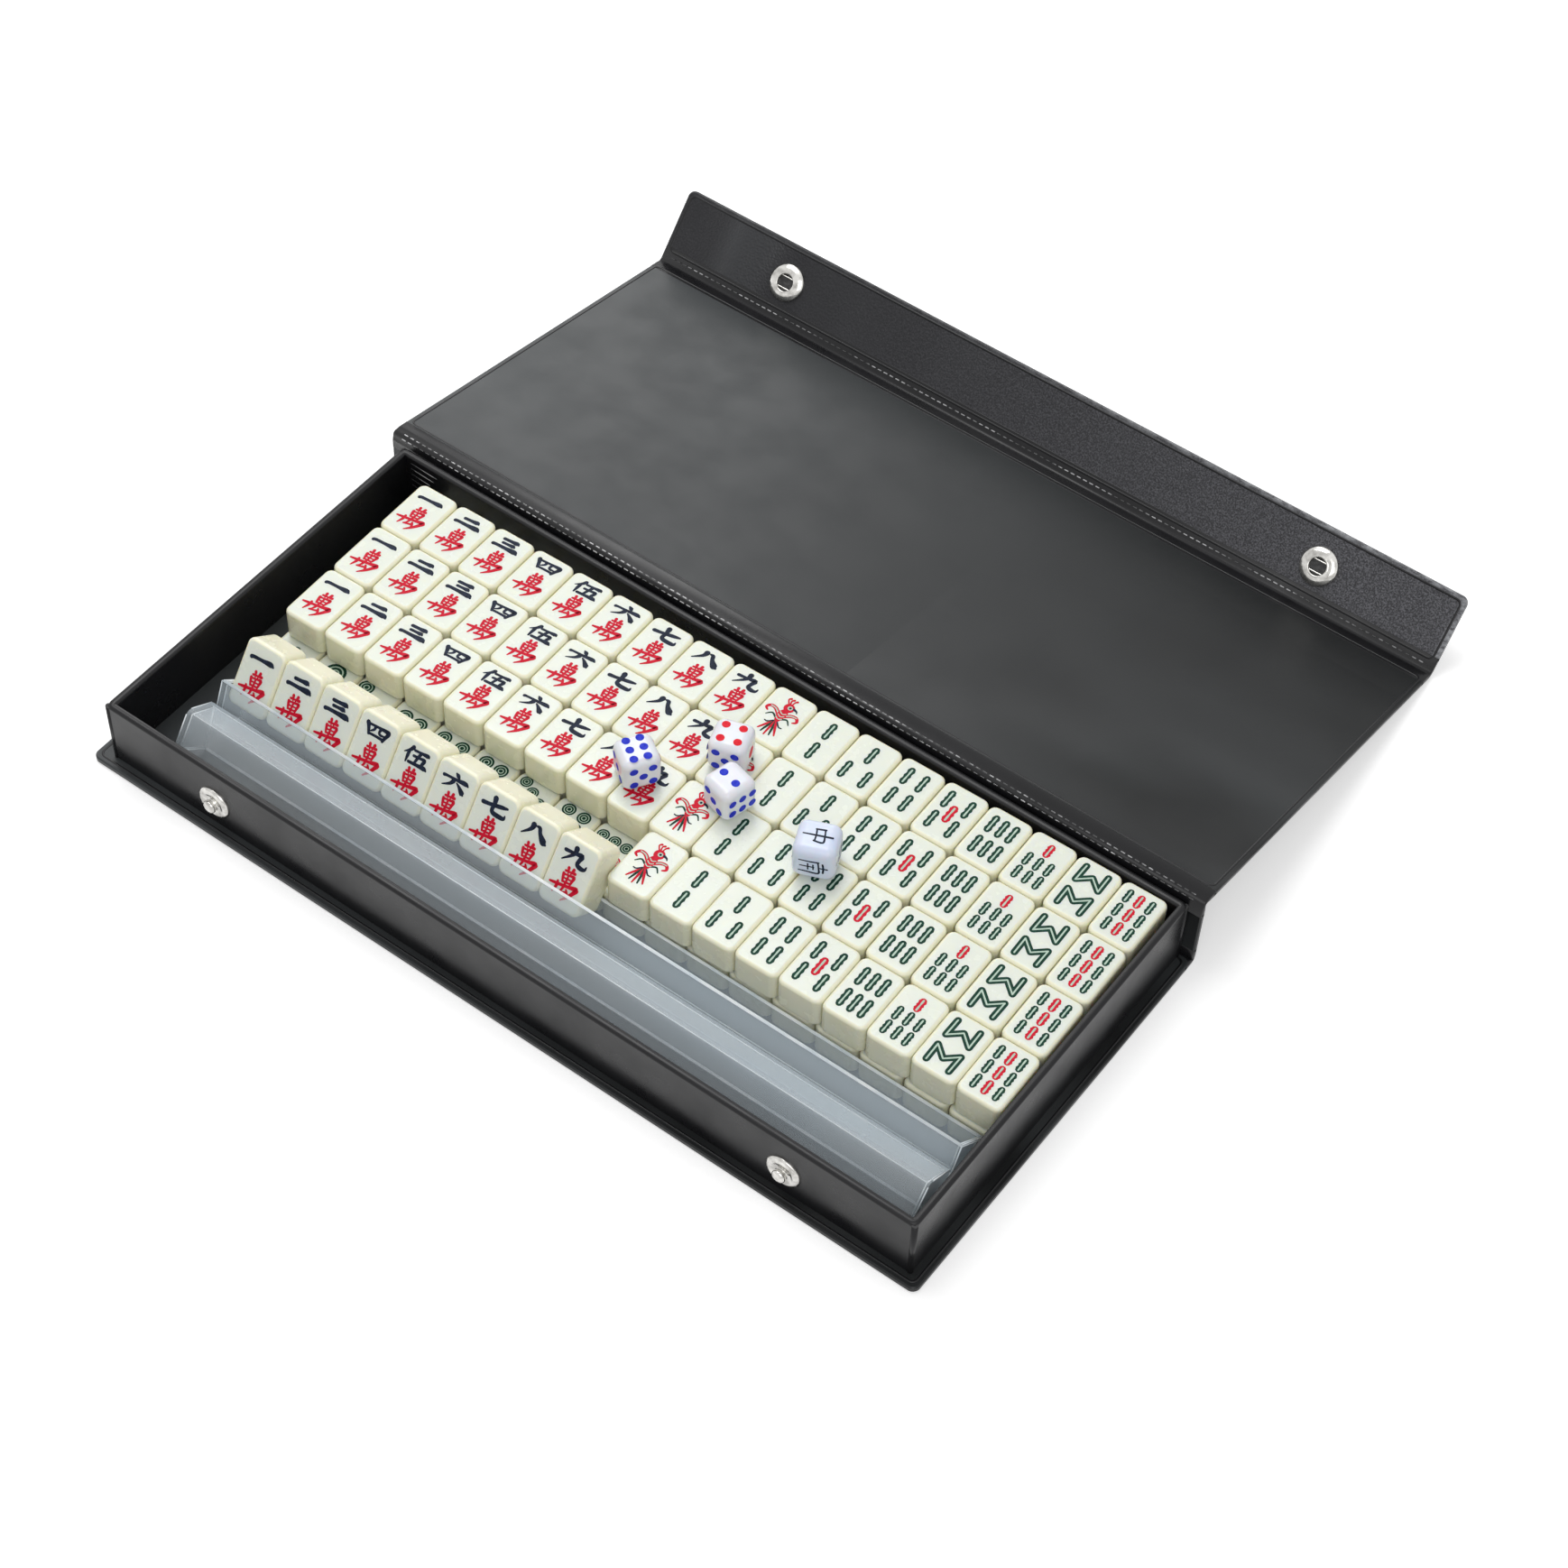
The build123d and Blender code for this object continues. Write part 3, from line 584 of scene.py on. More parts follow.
# Brush strokes in a box of 100 by 100: (x, y, width) along each stroke.
NUMERALS = {
    1: [[(4, 46, 9), (14, 52, 8), (50, 56, 8), (84, 60, 12), (96, 54, 5)]],
    2: [
        [(24, 74, 8), (50, 78, 8), (72, 82, 11), (80, 77, 4)],
        [(2, 28, 9), (14, 32, 8), (50, 34, 9), (86, 38, 13), (98, 30, 5)],
    ],
    3: [
        [(22, 86, 8), (50, 90, 8), (72, 93, 11), (80, 88, 4)],
        [(28, 56, 7), (50, 59, 7), (68, 61, 10), (75, 57, 4)],
        [(2, 18, 9), (14, 22, 8), (50, 25, 9), (86, 28, 13), (98, 20, 5)],
    ],
    4: [
        [(6, 84, 12), (13, 60, 10), (20, 24, 7)],
        [(8, 80, 7), (50, 86, 7), (86, 88, 11), (92, 80, 11), (84, 50, 9), (78, 24, 8)],
        [(38, 82, 9), (36, 62, 7), (24, 44, 4)],
        [(60, 84, 9), (57, 60, 7), (64, 51, 7), (78, 53, 5)],
        [(19, 28, 7), (50, 31, 7), (80, 32, 8)],
    ],
    5: [
        [(30, 98, 11), (20, 74, 8), (2, 50, 3)],
        [(19, 66, 9), (18, 40, 9), (17, 2, 5)],
        [(38, 86, 7), (64, 90, 7), (90, 93, 11), (96, 88, 4)],
        [(64, 88, 9), (56, 50, 8), (50, 14, 7)],
        [(40, 54, 7), (64, 58, 7), (84, 61, 9), (80, 36, 9), (76, 14, 7)],
        [(28, 8, 8), (64, 13, 9), (90, 16, 12), (100, 10, 5)],
    ],
    6: [
        [(44, 100, 5), (52, 92, 11), (58, 82, 7)],
        [(2, 58, 9), (14, 62, 7), (50, 66, 8), (86, 72, 12), (98, 66, 5)],
        [(42, 52, 12), (32, 28, 8), (6, 2, 3)],
        [(56, 50, 4), (70, 34, 9), (86, 10, 14), (90, 4, 6)],
    ],
    7: [
        [(2, 44, 9), (30, 52, 8), (70, 68, 9), (94, 78, 5)],
        [(42, 98, 12), (44, 60, 9), (42, 26, 9), (52, 13, 10), (76, 12, 10), (92, 16, 8), (94, 34, 3)],
    ],
    8: [
        [(36, 84, 13), (30, 54, 8), (2, 10, 3)],
        [(50, 88, 5), (60, 84, 9), (68, 56, 9), (88, 22, 15), (98, 14, 5)],
    ],
    9: [
        [(42, 98, 12), (38, 60, 8), (4, 4, 3)],
        [(6, 62, 8), (40, 68, 7), (68, 74, 11), (64, 44, 9)]
        + [(62, 18, 9), (76, 8, 10), (92, 12, 7), (96, 32, 3)],
    ],
}
MYRIAD = [
    [(34, 91, 7), (50, 93, 6), (68, 96, 9)],
    [(41, 104, 9), (43, 94, 7), (45, 86, 4)],
    [(60, 106, 9), (57, 96, 7), (54, 87, 4)],
    [(31, 80, 9), (33, 68, 8), (36, 54, 6)],
    [(32, 79, 6), (50, 81, 6), (70, 84, 9), (68, 70, 8), (65, 56, 6)],
    [(35, 67, 5), (66, 70, 5)],
    [(36, 55, 6), (66, 58, 6)],
    [(50, 82, 6), (49, 60, 7), (47, 40, 8), (43, 26, 6), (36, 18, 5)],
    [(-4, 35, 6), (20, 39, 9), (60, 46, 9), (92, 52, 14), (87, 38, 11), (73, 17, 9), (54, -4, 4)],
    [(22, 48, 7), (23, 32, 9), (16, 9, 4)],
    [(36, 18, 6), (50, 22, 6), (63, 27, 8)],
    [(60, 35, 6), (67, 24, 7), (68, 15, 5)],
]
CENTRE_SIGN = [
    [(50, 100, 9), (50, 50, 9), (50, 0, 6)],
    [(14, 72, 9), (16, 40, 8)],
    [(14, 70, 7), (50, 73, 7), (86, 72, 9), (82, 40, 8)],
    [(17, 42, 7), (50, 44, 7), (82, 43, 7)],
]
SOUTH_SIGN = [
    [(20, 84, 8), (50, 87, 8), (80, 86, 8)],
    [(50, 100, 8), (50, 74, 7)],
    [(12, 70, 9), (14, 40, 8), (12, 4, 6)],
    [(12, 68, 7), (50, 71, 7), (88, 70, 9), (86, 30, 8), (84, 4, 6)],
    [(34, 52, 6), (66, 53, 6)],
    [(30, 34, 6), (70, 35, 6)],
    [(50, 54, 7), (50, 8, 6)],
]
EAST_SIGN = [
    [(10, 84, 7), (50, 86, 7), (90, 86, 8)],
    [(24, 69, 8), (27, 40, 7)],
    [(24, 67, 7), (76, 69, 8), (73, 41, 7)],
    [(26, 54, 6), (74, 55, 6)],
    [(27, 42, 6), (73, 42, 6)],
    [(50, 102, 9), (50, 50, 8), (50, 0, 6)],
    [(48, 40, 8), (30, 22, 7), (6, 8, 4)],
    [(52, 40, 5), (70, 22, 9), (94, 8, 6)],
]
WEST_SIGN = [
    [(8, 90, 8), (50, 91, 7), (92, 92, 9)],
    [(14, 66, 9), (18, 36, 8), (20, 6, 6)],
    [(14, 64, 7), (50, 66, 7), (87, 68, 9), (84, 36, 8), (82, 6, 6)],
    [(38, 90, 8), (37, 62, 7), (26, 40, 4)],
    [(62, 90, 8), (62, 50, 7), (74, 42, 6)],
    [(20, 14, 7), (82, 16, 7)],
]
NORTH_SIGN = [
    [(36, 94, 9), (36, 50, 8), (35, 4, 7)],
    [(10, 64, 8), (36, 67, 7)],
    [(4, 16, 5), (20, 24, 9), (36, 32, 7)],
    [(64, 96, 9), (63, 50, 8), (66, 14, 8), (92, 12, 8), (95, 30, 4)],
    [(90, 74, 8), (76, 62, 7), (64, 56, 6)],
]
FORTUNE_SIGN = [
    [(18, 94, 8), (44, 92, 8), (30, 76, 7), (4, 62, 4)],
    [(20, 80, 6), (32, 72, 6)],
    [(56, 98, 8), (70, 80, 8), (96, 62, 7)],
    [(84, 94, 6), (68, 84, 6)],
    [(20, 57, 7), (47, 58, 8), (45, 46, 6)],
    [(22, 46, 6), (45, 46, 6)],
    [(22, 45, 7), (19, 33, 7), (47, 34, 8), (43, 6, 8), (30, 10, 4)],
    [(62, 58, 7), (60, 46, 7), (52, 38, 4)],
    [(61, 58, 6), (81, 58, 7), (80, 44, 7), (95, 42, 5)],
    [(55, 31, 6), (87, 33, 8), (74, 14, 7), (52, 0, 4)],
    [(60, 26, 6), (76, 12, 8), (96, 0, 6)],
]


# ---- Printed marks ----
INKS = [BLUE_BLACK, RED, GREEN, PALE]
BLACK_INK, RED_INK, GREEN_INK, PALE_INK = range(4)
INK_HEIGHT = 0.012
INK_STEP = 0.0006
STROKE_END_SIDES = 10


def smooth_line(points, steps=4):
    """Catmull-Rom points through the given ones."""
    if len(points) < 3:
        return points
    padded = [points[0], *points, points[-1]]
    line = []
    for a, b, c, d in zip(padded, padded[1:], padded[2:], padded[3:]):
        for step in range(steps):
            t = step / steps
            blend = (
                -0.5 * t + t * t - 0.5 * t**3,
                1 - 2.5 * t * t + 1.5 * t**3,
                0.5 * t + 2 * t * t - 1.5 * t**3,
                -0.5 * t * t + 0.5 * t**3,
            )
            line.append(tuple(sum(w * p[k] for w, p in zip(blend, (a, b, c, d))) for k in range(3)))
    line.append(points[-1])
    return line


class Ink:
    """Flat painted marks on faces, collected into one mesh: x, y in the face's millimetres.

    Each mark lies a hair above the last one, so that none of them fight.
    """

    def __init__(self, bm):
        self.bm = bm
        self.place = None
        self.height = 0.0

    def on(self, place):
        """Goes to a new face, given by the frame at its middle."""
        self.place = place
        self.height = INK_HEIGHT

    def point(self, x, y):
        """A corner of the mark."""
        return self.bm.verts.new(self.place @ Vector((x, y, self.height)))

    def disc(self, x, y, radius, colour, sides=20):
        """A round spot."""
        self.height += INK_STEP
        rim = [self.point(x + radius * math.cos(a), y + radius * math.sin(a)) for a in turns(sides)]
        self.bm.faces.new(rim).material_index = colour

    def stroke(self, points, colour):
        """A brush stroke through (x, y, width) points, smoothed, with round ends."""
        line = smooth_line(points)
        self.height += INK_STEP
        edges = []
        for i, (x, y, width) in enumerate(line):
            ahead = line[min(i + 1, len(line) - 1)]
            behind = line[max(i - 1, 0)]
            along = Vector((ahead[0] - behind[0], ahead[1] - behind[1])).normalized()
            side = Vector((-along.y, along.x)) * width / 2
            centre = Vector((x, y))
            edges.append((self.point(*(centre - side)), self.point(*(centre + side))))
        for (right, left), (next_right, next_left) in zip(edges, edges[1:]):
            self.bm.faces.new((right, next_right, next_left, left)).material_index = colour
        for x, y, width in (line[0], line[-1]):
            self.disc(x, y, width / 2, colour, STROKE_END_SIDES)

    def glyph(self, strokes, box, weight, colour):
        """A sign's strokes set in a box, given as its middle's x and y, its width and its height."""
        middle_x, middle_y, width, height = box
        for stroke in strokes:
            points = []
            for across, up, pen in stroke:
                x = middle_x + (across / 100 - 0.5) * width
                y = middle_y + (up / 100 - 0.5) * height
                points.append((x, y, pen * weight / 100))
            self.stroke(points, colour)


NUMERAL_BOX = (0, 5.7, 9.0, 5.2)
NUMERAL_WEIGHT = 15
DENSE_NUMERALS = (4, 5, 6)
DENSE_WEIGHT = 12.5
MYRIAD_BOX = (0, -3.0, 9.2, 9.2)
MYRIAD_WEIGHT = 11.5


def draw_character(ink, number):
    """A character tile: the numeral towards the back, the myriad sign in red below."""
    weight = DENSE_WEIGHT if number in DENSE_NUMERALS else NUMERAL_WEIGHT
    ink.glyph(NUMERALS[number], NUMERAL_BOX, weight, BLACK_INK)
    ink.glyph(MYRIAD, MYRIAD_BOX, MYRIAD_WEIGHT, RED_INK)


def grid(columns, rows):
    """Places in rows from the back to the front."""
    return [(x, y) for y in rows for x in columns]


# A bamboo stick's outline and core: (share of its reach, share of its width) along it.
STICK_OUTLINE = [(-1, 0.86), (-0.8, 1), (-0.36, 0.78), (0, 0.98), (0.36, 0.78), (0.8, 1), (1, 0.86)]
STICK_CORE = [(-1, 0.9), (-0.5, 1), (0, 0.7), (0.5, 1), (1, 0.9)]
CORE_REACH = 0.34
CORE_WIDTH = 0.24
LONG_STICK = (7.6, 2.4)
SHORT_STICK = (5.7, 2.25)
RED_STICK_SWELL = 1.12

# Where each bamboo tile's sticks stand, and which of them are red.
STICKS = {
    2: ([(0, 4.4), (0, -4.4)], ()),
    3: ([(0, 4.3), (-3.55, -4.3), (3.55, -4.3)], ()),
    4: (grid((-2.65, 2.65), (4.4, -4.4)), ()),
    5: ([*grid((-3.55, 3.55), (4.4, -4.4)), (0, 0)], (4,)),
    6: (grid((-3.5, 0, 3.5), (4.4, -4.4)), ()),
    7: ([(0, 5.75), *grid((-3.6, 0, 3.6), (0, -5.7))], (0,)),
    9: (grid((-3.7, 0, 3.7), (5.85, 0, -5.85)), (1, 4, 7)),
}
SHORT_STICK_TILES = (7, 9)
ZIGZAG = [(-3.7, 7.9), (-3.8, 1.9), (0, 5.2), (3.8, 1.9), (3.7, 7.9)]
ZIGZAG_PENS = ((2.15, GREEN_INK), (0.5, PALE_INK))


def draw_stick(ink, x, y, length, width, colour):
    """A bamboo stick: a scalloped outline with a narrow pale core."""
    for outline, reach, pen, tone in (
        (STICK_OUTLINE, length / 2 - width / 2, width, colour),
        (STICK_CORE, length * CORE_REACH, width * CORE_WIDTH, PALE_INK),
    ):
        ink.stroke([(x, y + share * reach, swell * pen) for share, swell in outline], tone)


def draw_zigzags(ink):
    """The eight of bamboo: two zigzags of sticks, one upside down."""
    for side in (1, -1):
        for width, tone in ZIGZAG_PENS:
            points = [(x, side * y, width) for x, y in ZIGZAG]
            for start, end in zip(points, points[1:]):
                ink.stroke([start, end], tone)


def draw_bamboo(ink, number):
    """A bamboo tile: the bird for 1, the zigzags for 8, and sticks for the rest."""
    if number == 1:
        draw_bird(ink)
        return
    if number == 8:
        draw_zigzags(ink)
        return
    length, width = SHORT_STICK if number in SHORT_STICK_TILES else LONG_STICK
    places, reds = STICKS[number]
    for i, (x, y) in enumerate(places):
        if i in reds:
            draw_stick(ink, x, y, length, width * RED_STICK_SWELL, RED_INK)
        else:
            draw_stick(ink, x, y, length, width, GREEN_INK)


BIRD_WING = [(0.6, 0.6, 1.3), (2.6, 2.3, 1.3), (4.5, 2.6, 1.1), (5.4, 1.3, 0.9), (4.5, 0.5, 0.6)]
BIRD_QUILL = [(0.8, -0.6, 0.6), (2.6, 0.4, 0.6), (4.0, -1.0, 0.4)]
BIRD_BODY = [(0.4, 3.4, 1.8), (0.1, 1.4, 3.0), (0.1, -0.9, 1.9)]
BIRD_BEAK = [(2.0, 5.0, 0.9), (3.0, 4.7, 0.6), (3.5, 4.1, 0.3)]
BIRD_LEGS = [
    [(-0.6, -1.9, 0.5), (-1.9, -3.2, 0.5), (-2.9, -3.2, 0.4)],
    [(0.8, -1.9, 0.5), (2.1, -3.2, 0.5), (3.1, -3.2, 0.4)],
]
# The head, the ring of the eye and the eye: x, y, radius, ink.
BIRD_HEAD = [(0.5, 4.6, 1.75, RED_INK), (0.75, 4.75, 0.8, PALE_INK), (0.8, 4.75, 0.42, BLACK_INK)]
BIRD_CREST = (-1.5, -0.4, 0.7)
BIRD_TAIL = ((-2.4, RED_INK), (-1.2, GREEN_INK), (0.0, RED_INK), (1.2, GREEN_INK), (2.4, RED_INK))


def draw_bird(ink):
    """A bird with spread wings, in plain arcs: round head and crest, two curled wings and a long tail."""
    for side in (-1, 1):
        ink.stroke([(side * x, y, pen) for x, y, pen in BIRD_WING], RED_INK)
        ink.stroke([(side * x, y + 0.05, pen * 0.35) for x, y, pen in BIRD_WING[:3]], PALE_INK)
        ink.stroke([(side * x, y, pen) for x, y, pen in BIRD_QUILL], GREEN_INK)
    ink.stroke(BIRD_BODY, RED_INK)
    for row in range(3):
        y = 2.1 - 1.15 * row
        ink.stroke([(-0.9, y, 0.35), (0.15, y - 0.55, 0.35), (1.1, y, 0.35)], PALE_INK)
    for x, y, radius, tone in BIRD_HEAD:
        ink.disc(x, y, radius, tone)
    ink.stroke(BIRD_BEAK, BLACK_INK)
    for reach in BIRD_CREST:
        ink.stroke([(0.2 + reach * 0.4, 5.8, 0.5), (reach, 7.3, 0.5), (reach + 0.5, 8.0, 0.8)], RED_INK)
    for spread, tone in BIRD_TAIL:
        tip = -7.9 + abs(spread) * 0.5
        ink.stroke([(0.1, -1.2, 0.7), (spread * 0.7, -4.4, 0.8), (spread * 1.2, tip, 0.5)], tone)
    for leg in BIRD_LEGS:
        ink.stroke(leg, BLACK_INK)


# Where each dots tile's coins lie, which of them are red, and their radius.
DOTS = {
    2: ([(0, 4.6), (0, -4.6)], (), 3.6),
    3: ([(-4, 6.2), (0, 0), (4, -6.2)], (1,), 2.6),
    4: (grid((-2.75, 2.75), (4.6, -4.6)), (), 2.6),
    5: ([(-3.4, 5.6), (3.4, 5.6), (0, 0), (-3.4, -5.6), (3.4, -5.6)], (2,), 2.4),
    6: (grid((-2.75, 2.75), (6, -0.8, -6.4)), (), 2.4),
    7: ([(-3.9, 7.6), (0, 5.4), (3.9, 3.2), *grid((-2.75, 2.75), (-2, -7))], (), 2.0),
    8: (grid((-2.75, 2.75), (7.2, 2.4, -2.4, -7.2)), (), 2.2),
    9: (grid((-4.3, 0, 4.3), (6, 0, -6)), (3, 4, 5), 2.0),
}
COIN_RINGS = (1, 0.74, 0.62, 0.38, 0.26)
GREAT_COIN = 4.4
PETAL_RING = 4.2


def draw_coin(ink, x, y, radius, colour):
    """A coin of concentric rings with a dark eye."""
    for i, share in enumerate(COIN_RINGS):
        ink.disc(x, y, radius * share, PALE_INK if i % 2 else colour)


def draw_great_coin(ink):
    """The one of dots: a large coin with petals round it and a red middle."""
    for turn in turns(12):
        ink.disc(PETAL_RING * math.cos(turn), PETAL_RING * math.sin(turn), 1.5, GREEN_INK, 12)
    draw_coin(ink, 0, 0, GREAT_COIN, GREEN_INK)
    ink.disc(0, 0, 1.9, RED_INK)
    ink.disc(0, 0, 0.8, PALE_INK)


def draw_dots(ink, number):
    """A dots tile."""
    if number == 1:
        draw_great_coin(ink)
        return
    places, reds, radius = DOTS[number]
    for i, (x, y) in enumerate(places):
        draw_coin(ink, x, y, radius, RED_INK if i in reds else GREEN_INK)


WIND_BOX = (0, 0, 9.4, 12.0)
# The four winds, then the red and the green dragon: sign, box, weight and ink.
HONOUR_SIGNS = [(sign, WIND_BOX, 13, BLACK_INK) for sign in (EAST_SIGN, SOUTH_SIGN, WEST_SIGN, NORTH_SIGN)]
HONOUR_SIGNS.append((CENTRE_SIGN, (0, 0, 8.6, 13.0), 15, RED_INK))
HONOUR_SIGNS.append((FORTUNE_SIGN, (0, 0, 9.8, 12.4), 12, GREEN_INK))
BLANK_DRAGON = 7
BLANK_FRAME = (4.6, 7.8)
BLANK_LINES = ((1.0, 0.8), (0.82, 0.4))
TWIG = [
    [(-3.4, -7.8, 0.9), (-1.2, -3.6, 0.8), (0.4, 1.0, 0.6)],
    [(-1.4, -4.0, 0.5), (1.6, -3.2, 1.7), (3.8, -1.2, 0.4)],
    [(-1.9, -5.0, 0.4), (-3.8, -3.2, 1.5), (-4.4, -0.8, 0.3)],
]
BLOSSOM = (0.6, 4.0)
BLOSSOM_RING = 2.1


def draw_flower(ink):
    """A flower tile: a blossom of five petals on a leaning twig with two leaves."""
    for stroke in TWIG:
        ink.stroke(stroke, GREEN_INK)
    for petal in range(5):
        turn = math.pi * (0.5 + 0.4 * petal)
        x, y = BLOSSOM[0] + BLOSSOM_RING * math.cos(turn), BLOSSOM[1] + BLOSSOM_RING * math.sin(turn)
        ink.disc(x, y, 1.65, RED_INK)
        ink.disc(x, y, 1.1, PALE_INK)
    ink.disc(*BLOSSOM, 0.9, RED_INK)


def draw_blank_dragon(ink):
    """The white dragon: a plain double frame."""
    for reach, pen in BLANK_LINES:
        x, y = BLANK_FRAME[0] * reach, BLANK_FRAME[1] * reach + 0.2
        corners = [(-x, -y, pen), (x, -y, pen), (x, y, pen), (-x, y, pen)]
        for start, end in zip(corners, corners[1:] + corners[:1]):
            ink.stroke([start, end], BLACK_INK)


def draw_honours(ink, number):
    """The four winds, the three dragons and two flowers, 1 to 9."""
    if number <= len(HONOUR_SIGNS):
        ink.glyph(*HONOUR_SIGNS[number - 1])
    elif number == BLANK_DRAGON:
        draw_blank_dragon(ink)
    else:
        draw_flower(ink)


def make_marks(node, draw):
    """The printed marks of a run of nine tiles, 1 to 9 from left to right."""

    def build(bm):
        ink = Ink(bm)
        for number, place in enumerate(tile_frames(node), start=1):
            ink.on(place)
            draw(ink, number)

    rigid_piece(f"{node}_marks", build, INKS, BODY_OF[node])


SUITS = {"characters": draw_character, "bamboo": draw_bamboo, "dots": draw_dots, "honours": draw_honours}
for node_name in sorted(NODES):
    if node_name.startswith(("upper_", "lower_", "racked_")):
        make_tiles(node_name)
        make_marks(node_name, SUITS[node_name.split("_")[1]])


# ---- Dice ----
# Each die's turn in degrees and the pips of its top, front and right; opposite faces add to 7.
DICE = {"die_left": (-33.0, 6, 3, 5), "die_back": (18.0, 4, 5, 1), "die_right": (-14.0, 2, 3, 6)}
DIE_SIZE = 12.0
DIE_ROUND = 2.7
DIE_STEPS = 6
STAND = Matrix.Rotation(QUARTER, 4, "X")
FACES = {
    "top": Matrix.Identity(4),
    "bottom": Matrix.Rotation(math.pi, 4, "X"),
    "front": STAND,
    "back": Matrix.Rotation(math.pi, 4, "Z") @ STAND,
    "right": Matrix.Rotation(QUARTER, 4, "Z") @ STAND,
    "left": Matrix.Rotation(-QUARTER, 4, "Z") @ STAND,
}
PIPS = {
    1: [(0, 0)],
    2: [(-2.65, 0), (2.65, 0)],
    3: [(-2.6, 2.6), (0, 0), (2.6, -2.6)],
    4: grid((-2.65, 2.65), (2.65, -2.65)),
    5: [(-2.9, 2.9), (2.9, 2.9), (0, 0), (-2.9, -2.9), (2.9, -2.9)],
    6: [(x, y) for x in (-3.6, 0, 3.6) for y in (-2.13, 2.13)],
}
PIP_INKS = [PIP_BLUE, PIP_RED]
RED_COUNTS = (1, 4)
PIP_RADIUS = 1.3
SINGLE_PIP_RADIUS = 1.9
PIP_SIDES = 28

WIND_DIE_SIZE = 13.0
WIND_DIE_ROUND = 3.0
WIND_DIE_TURN = 23.6
WIND_DIE_SIGNS = {"top": CENTRE_SIGN, "front": SOUTH_SIGN, "right": CENTRE_SIGN, "left": SOUTH_SIGN}
WIND_DIE_BOX = (0, 0, 6.4, 8.6)
WIND_DIE_WEIGHT = 7.5


def make_cube(node, size, radius, turn, plastic):
    """A die's rounded body; gives the frame of each face, at its middle, in millimetres."""
    low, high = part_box(node)
    spin = Matrix.Rotation(math.radians(turn), 4, "Z")
    place = Matrix.Translation((low + high) / 2) @ spin @ TO_METRES

    def build(bm):
        add_block(bm, place, (size, size, size), radius, radius, DIE_STEPS)

    body = rigid_piece(f"{node}_cube", build, [plastic], BODY_OF[node])
    smooth_flats(body)
    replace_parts(body, node)
    return {face: place @ turned @ Matrix.Translation((0, 0, size / 2)) for face, turned in FACES.items()}


def make_die(node, turn, top, front, right):
    """A die with pips."""
    faces = make_cube(node, DIE_SIZE, DIE_ROUND, turn, DIE_WHITE)
    counts = {"top": top, "bottom": 7 - top, "front": front, "back": 7 - front}
    counts.update(right=right, left=7 - right)

    def build(bm):
        ink = Ink(bm)
        for face, count in counts.items():
            ink.on(faces[face])
            radius = SINGLE_PIP_RADIUS if count == 1 else PIP_RADIUS
            for x, y in PIPS[count]:
                ink.disc(x, y, radius, int(count in RED_COUNTS), PIP_SIDES)

    rigid_piece(f"{node}_pips", build, PIP_INKS, BODY_OF[node])


def make_wind_die():
    """The bluish die with a sign on its top and on three of its sides."""
    faces = make_cube("wind_die", WIND_DIE_SIZE, WIND_DIE_ROUND, WIND_DIE_TURN, DIE_BLUISH)

    def build(bm):
        ink = Ink(bm)
        for face, sign in WIND_DIE_SIGNS.items():
            ink.on(faces[face] @ Matrix.Rotation(-QUARTER, 4, "Z"))
            ink.glyph(sign, WIND_DIE_BOX, WIND_DIE_WEIGHT, 0)

    rigid_piece("wind_die_signs", build, [BLUE_BLACK], BODY_OF["wind_die"])


for die_name, settings in DICE.items():
    make_die(die_name, *settings)
make_wind_die()


# ---- Hinges, welds and rims ----
HALF_LENGTH = 151.0
PANEL_HALF = 1.0
# Each panel's rise above the horizontal in degrees, seen from the hinge that it turns on.
SPINE_RISE = 88.9
LID_RISE = -10.969
FLAP_RISE = 49.2


def panel_frame(joint, angle):
    """A panel's frame in millimetres: x along its hinge, y away from the hinge, z out of its lining."""
    hinge = Vector(JOINTS[joint]["pos_m"])
    along = Vector((0, math.cos(math.radians(angle)), math.sin(math.radians(angle))))
    out = Vector((1, 0, 0)).cross(along)
    turn = Matrix(((1, 0, 0), along, out)).transposed().to_4x4()
    return Matrix.Translation((0, hinge.y, hinge.z)) @ turn @ TO_METRES


SPINE = panel_frame("spine_hinge", SPINE_RISE)
LID = panel_frame("lid_hinge", LID_RISE)
FLAP_FRAME = panel_frame("flap_hinge", FLAP_RISE)
# The panel before a hinge, seen from that hinge.
BASE_FROM_SPINE = panel_frame("spine_hinge", 180)
SPINE_FROM_LID = panel_frame("lid_hinge", SPINE_RISE - 180)
LID_FROM_FLAP = panel_frame("flap_hinge", 180 + LID_RISE)

# How far a fold's strip laps past the bare vinyl and its half thickness there.
FOLD_LAPS = ((3.4, 1.0), (3.2, 1.03), (0.1, 1.03))
FOLD_STEPS = 6
BEND_SHARE = 0.6
# The strip's places along x and how much of its thickness is left there.
FOLD_ENDS = ((-HALF_LENGTH, 0.55), (-HALF_LENGTH + 0.35, 1), (HALF_LENGTH - 0.35, 1), (HALF_LENGTH, 0.55))

DASH_PITCH = 2.4
DASH_LENGTH = 1.8
DASH_HALF_WIDTH = 0.25
DASH_TIP = 0.1
DASH_HEIGHT = 0.16
DASH_SINK = 0.1
DASH_MARGIN = 6
DASH_CROWN = (0.8, 0.5)


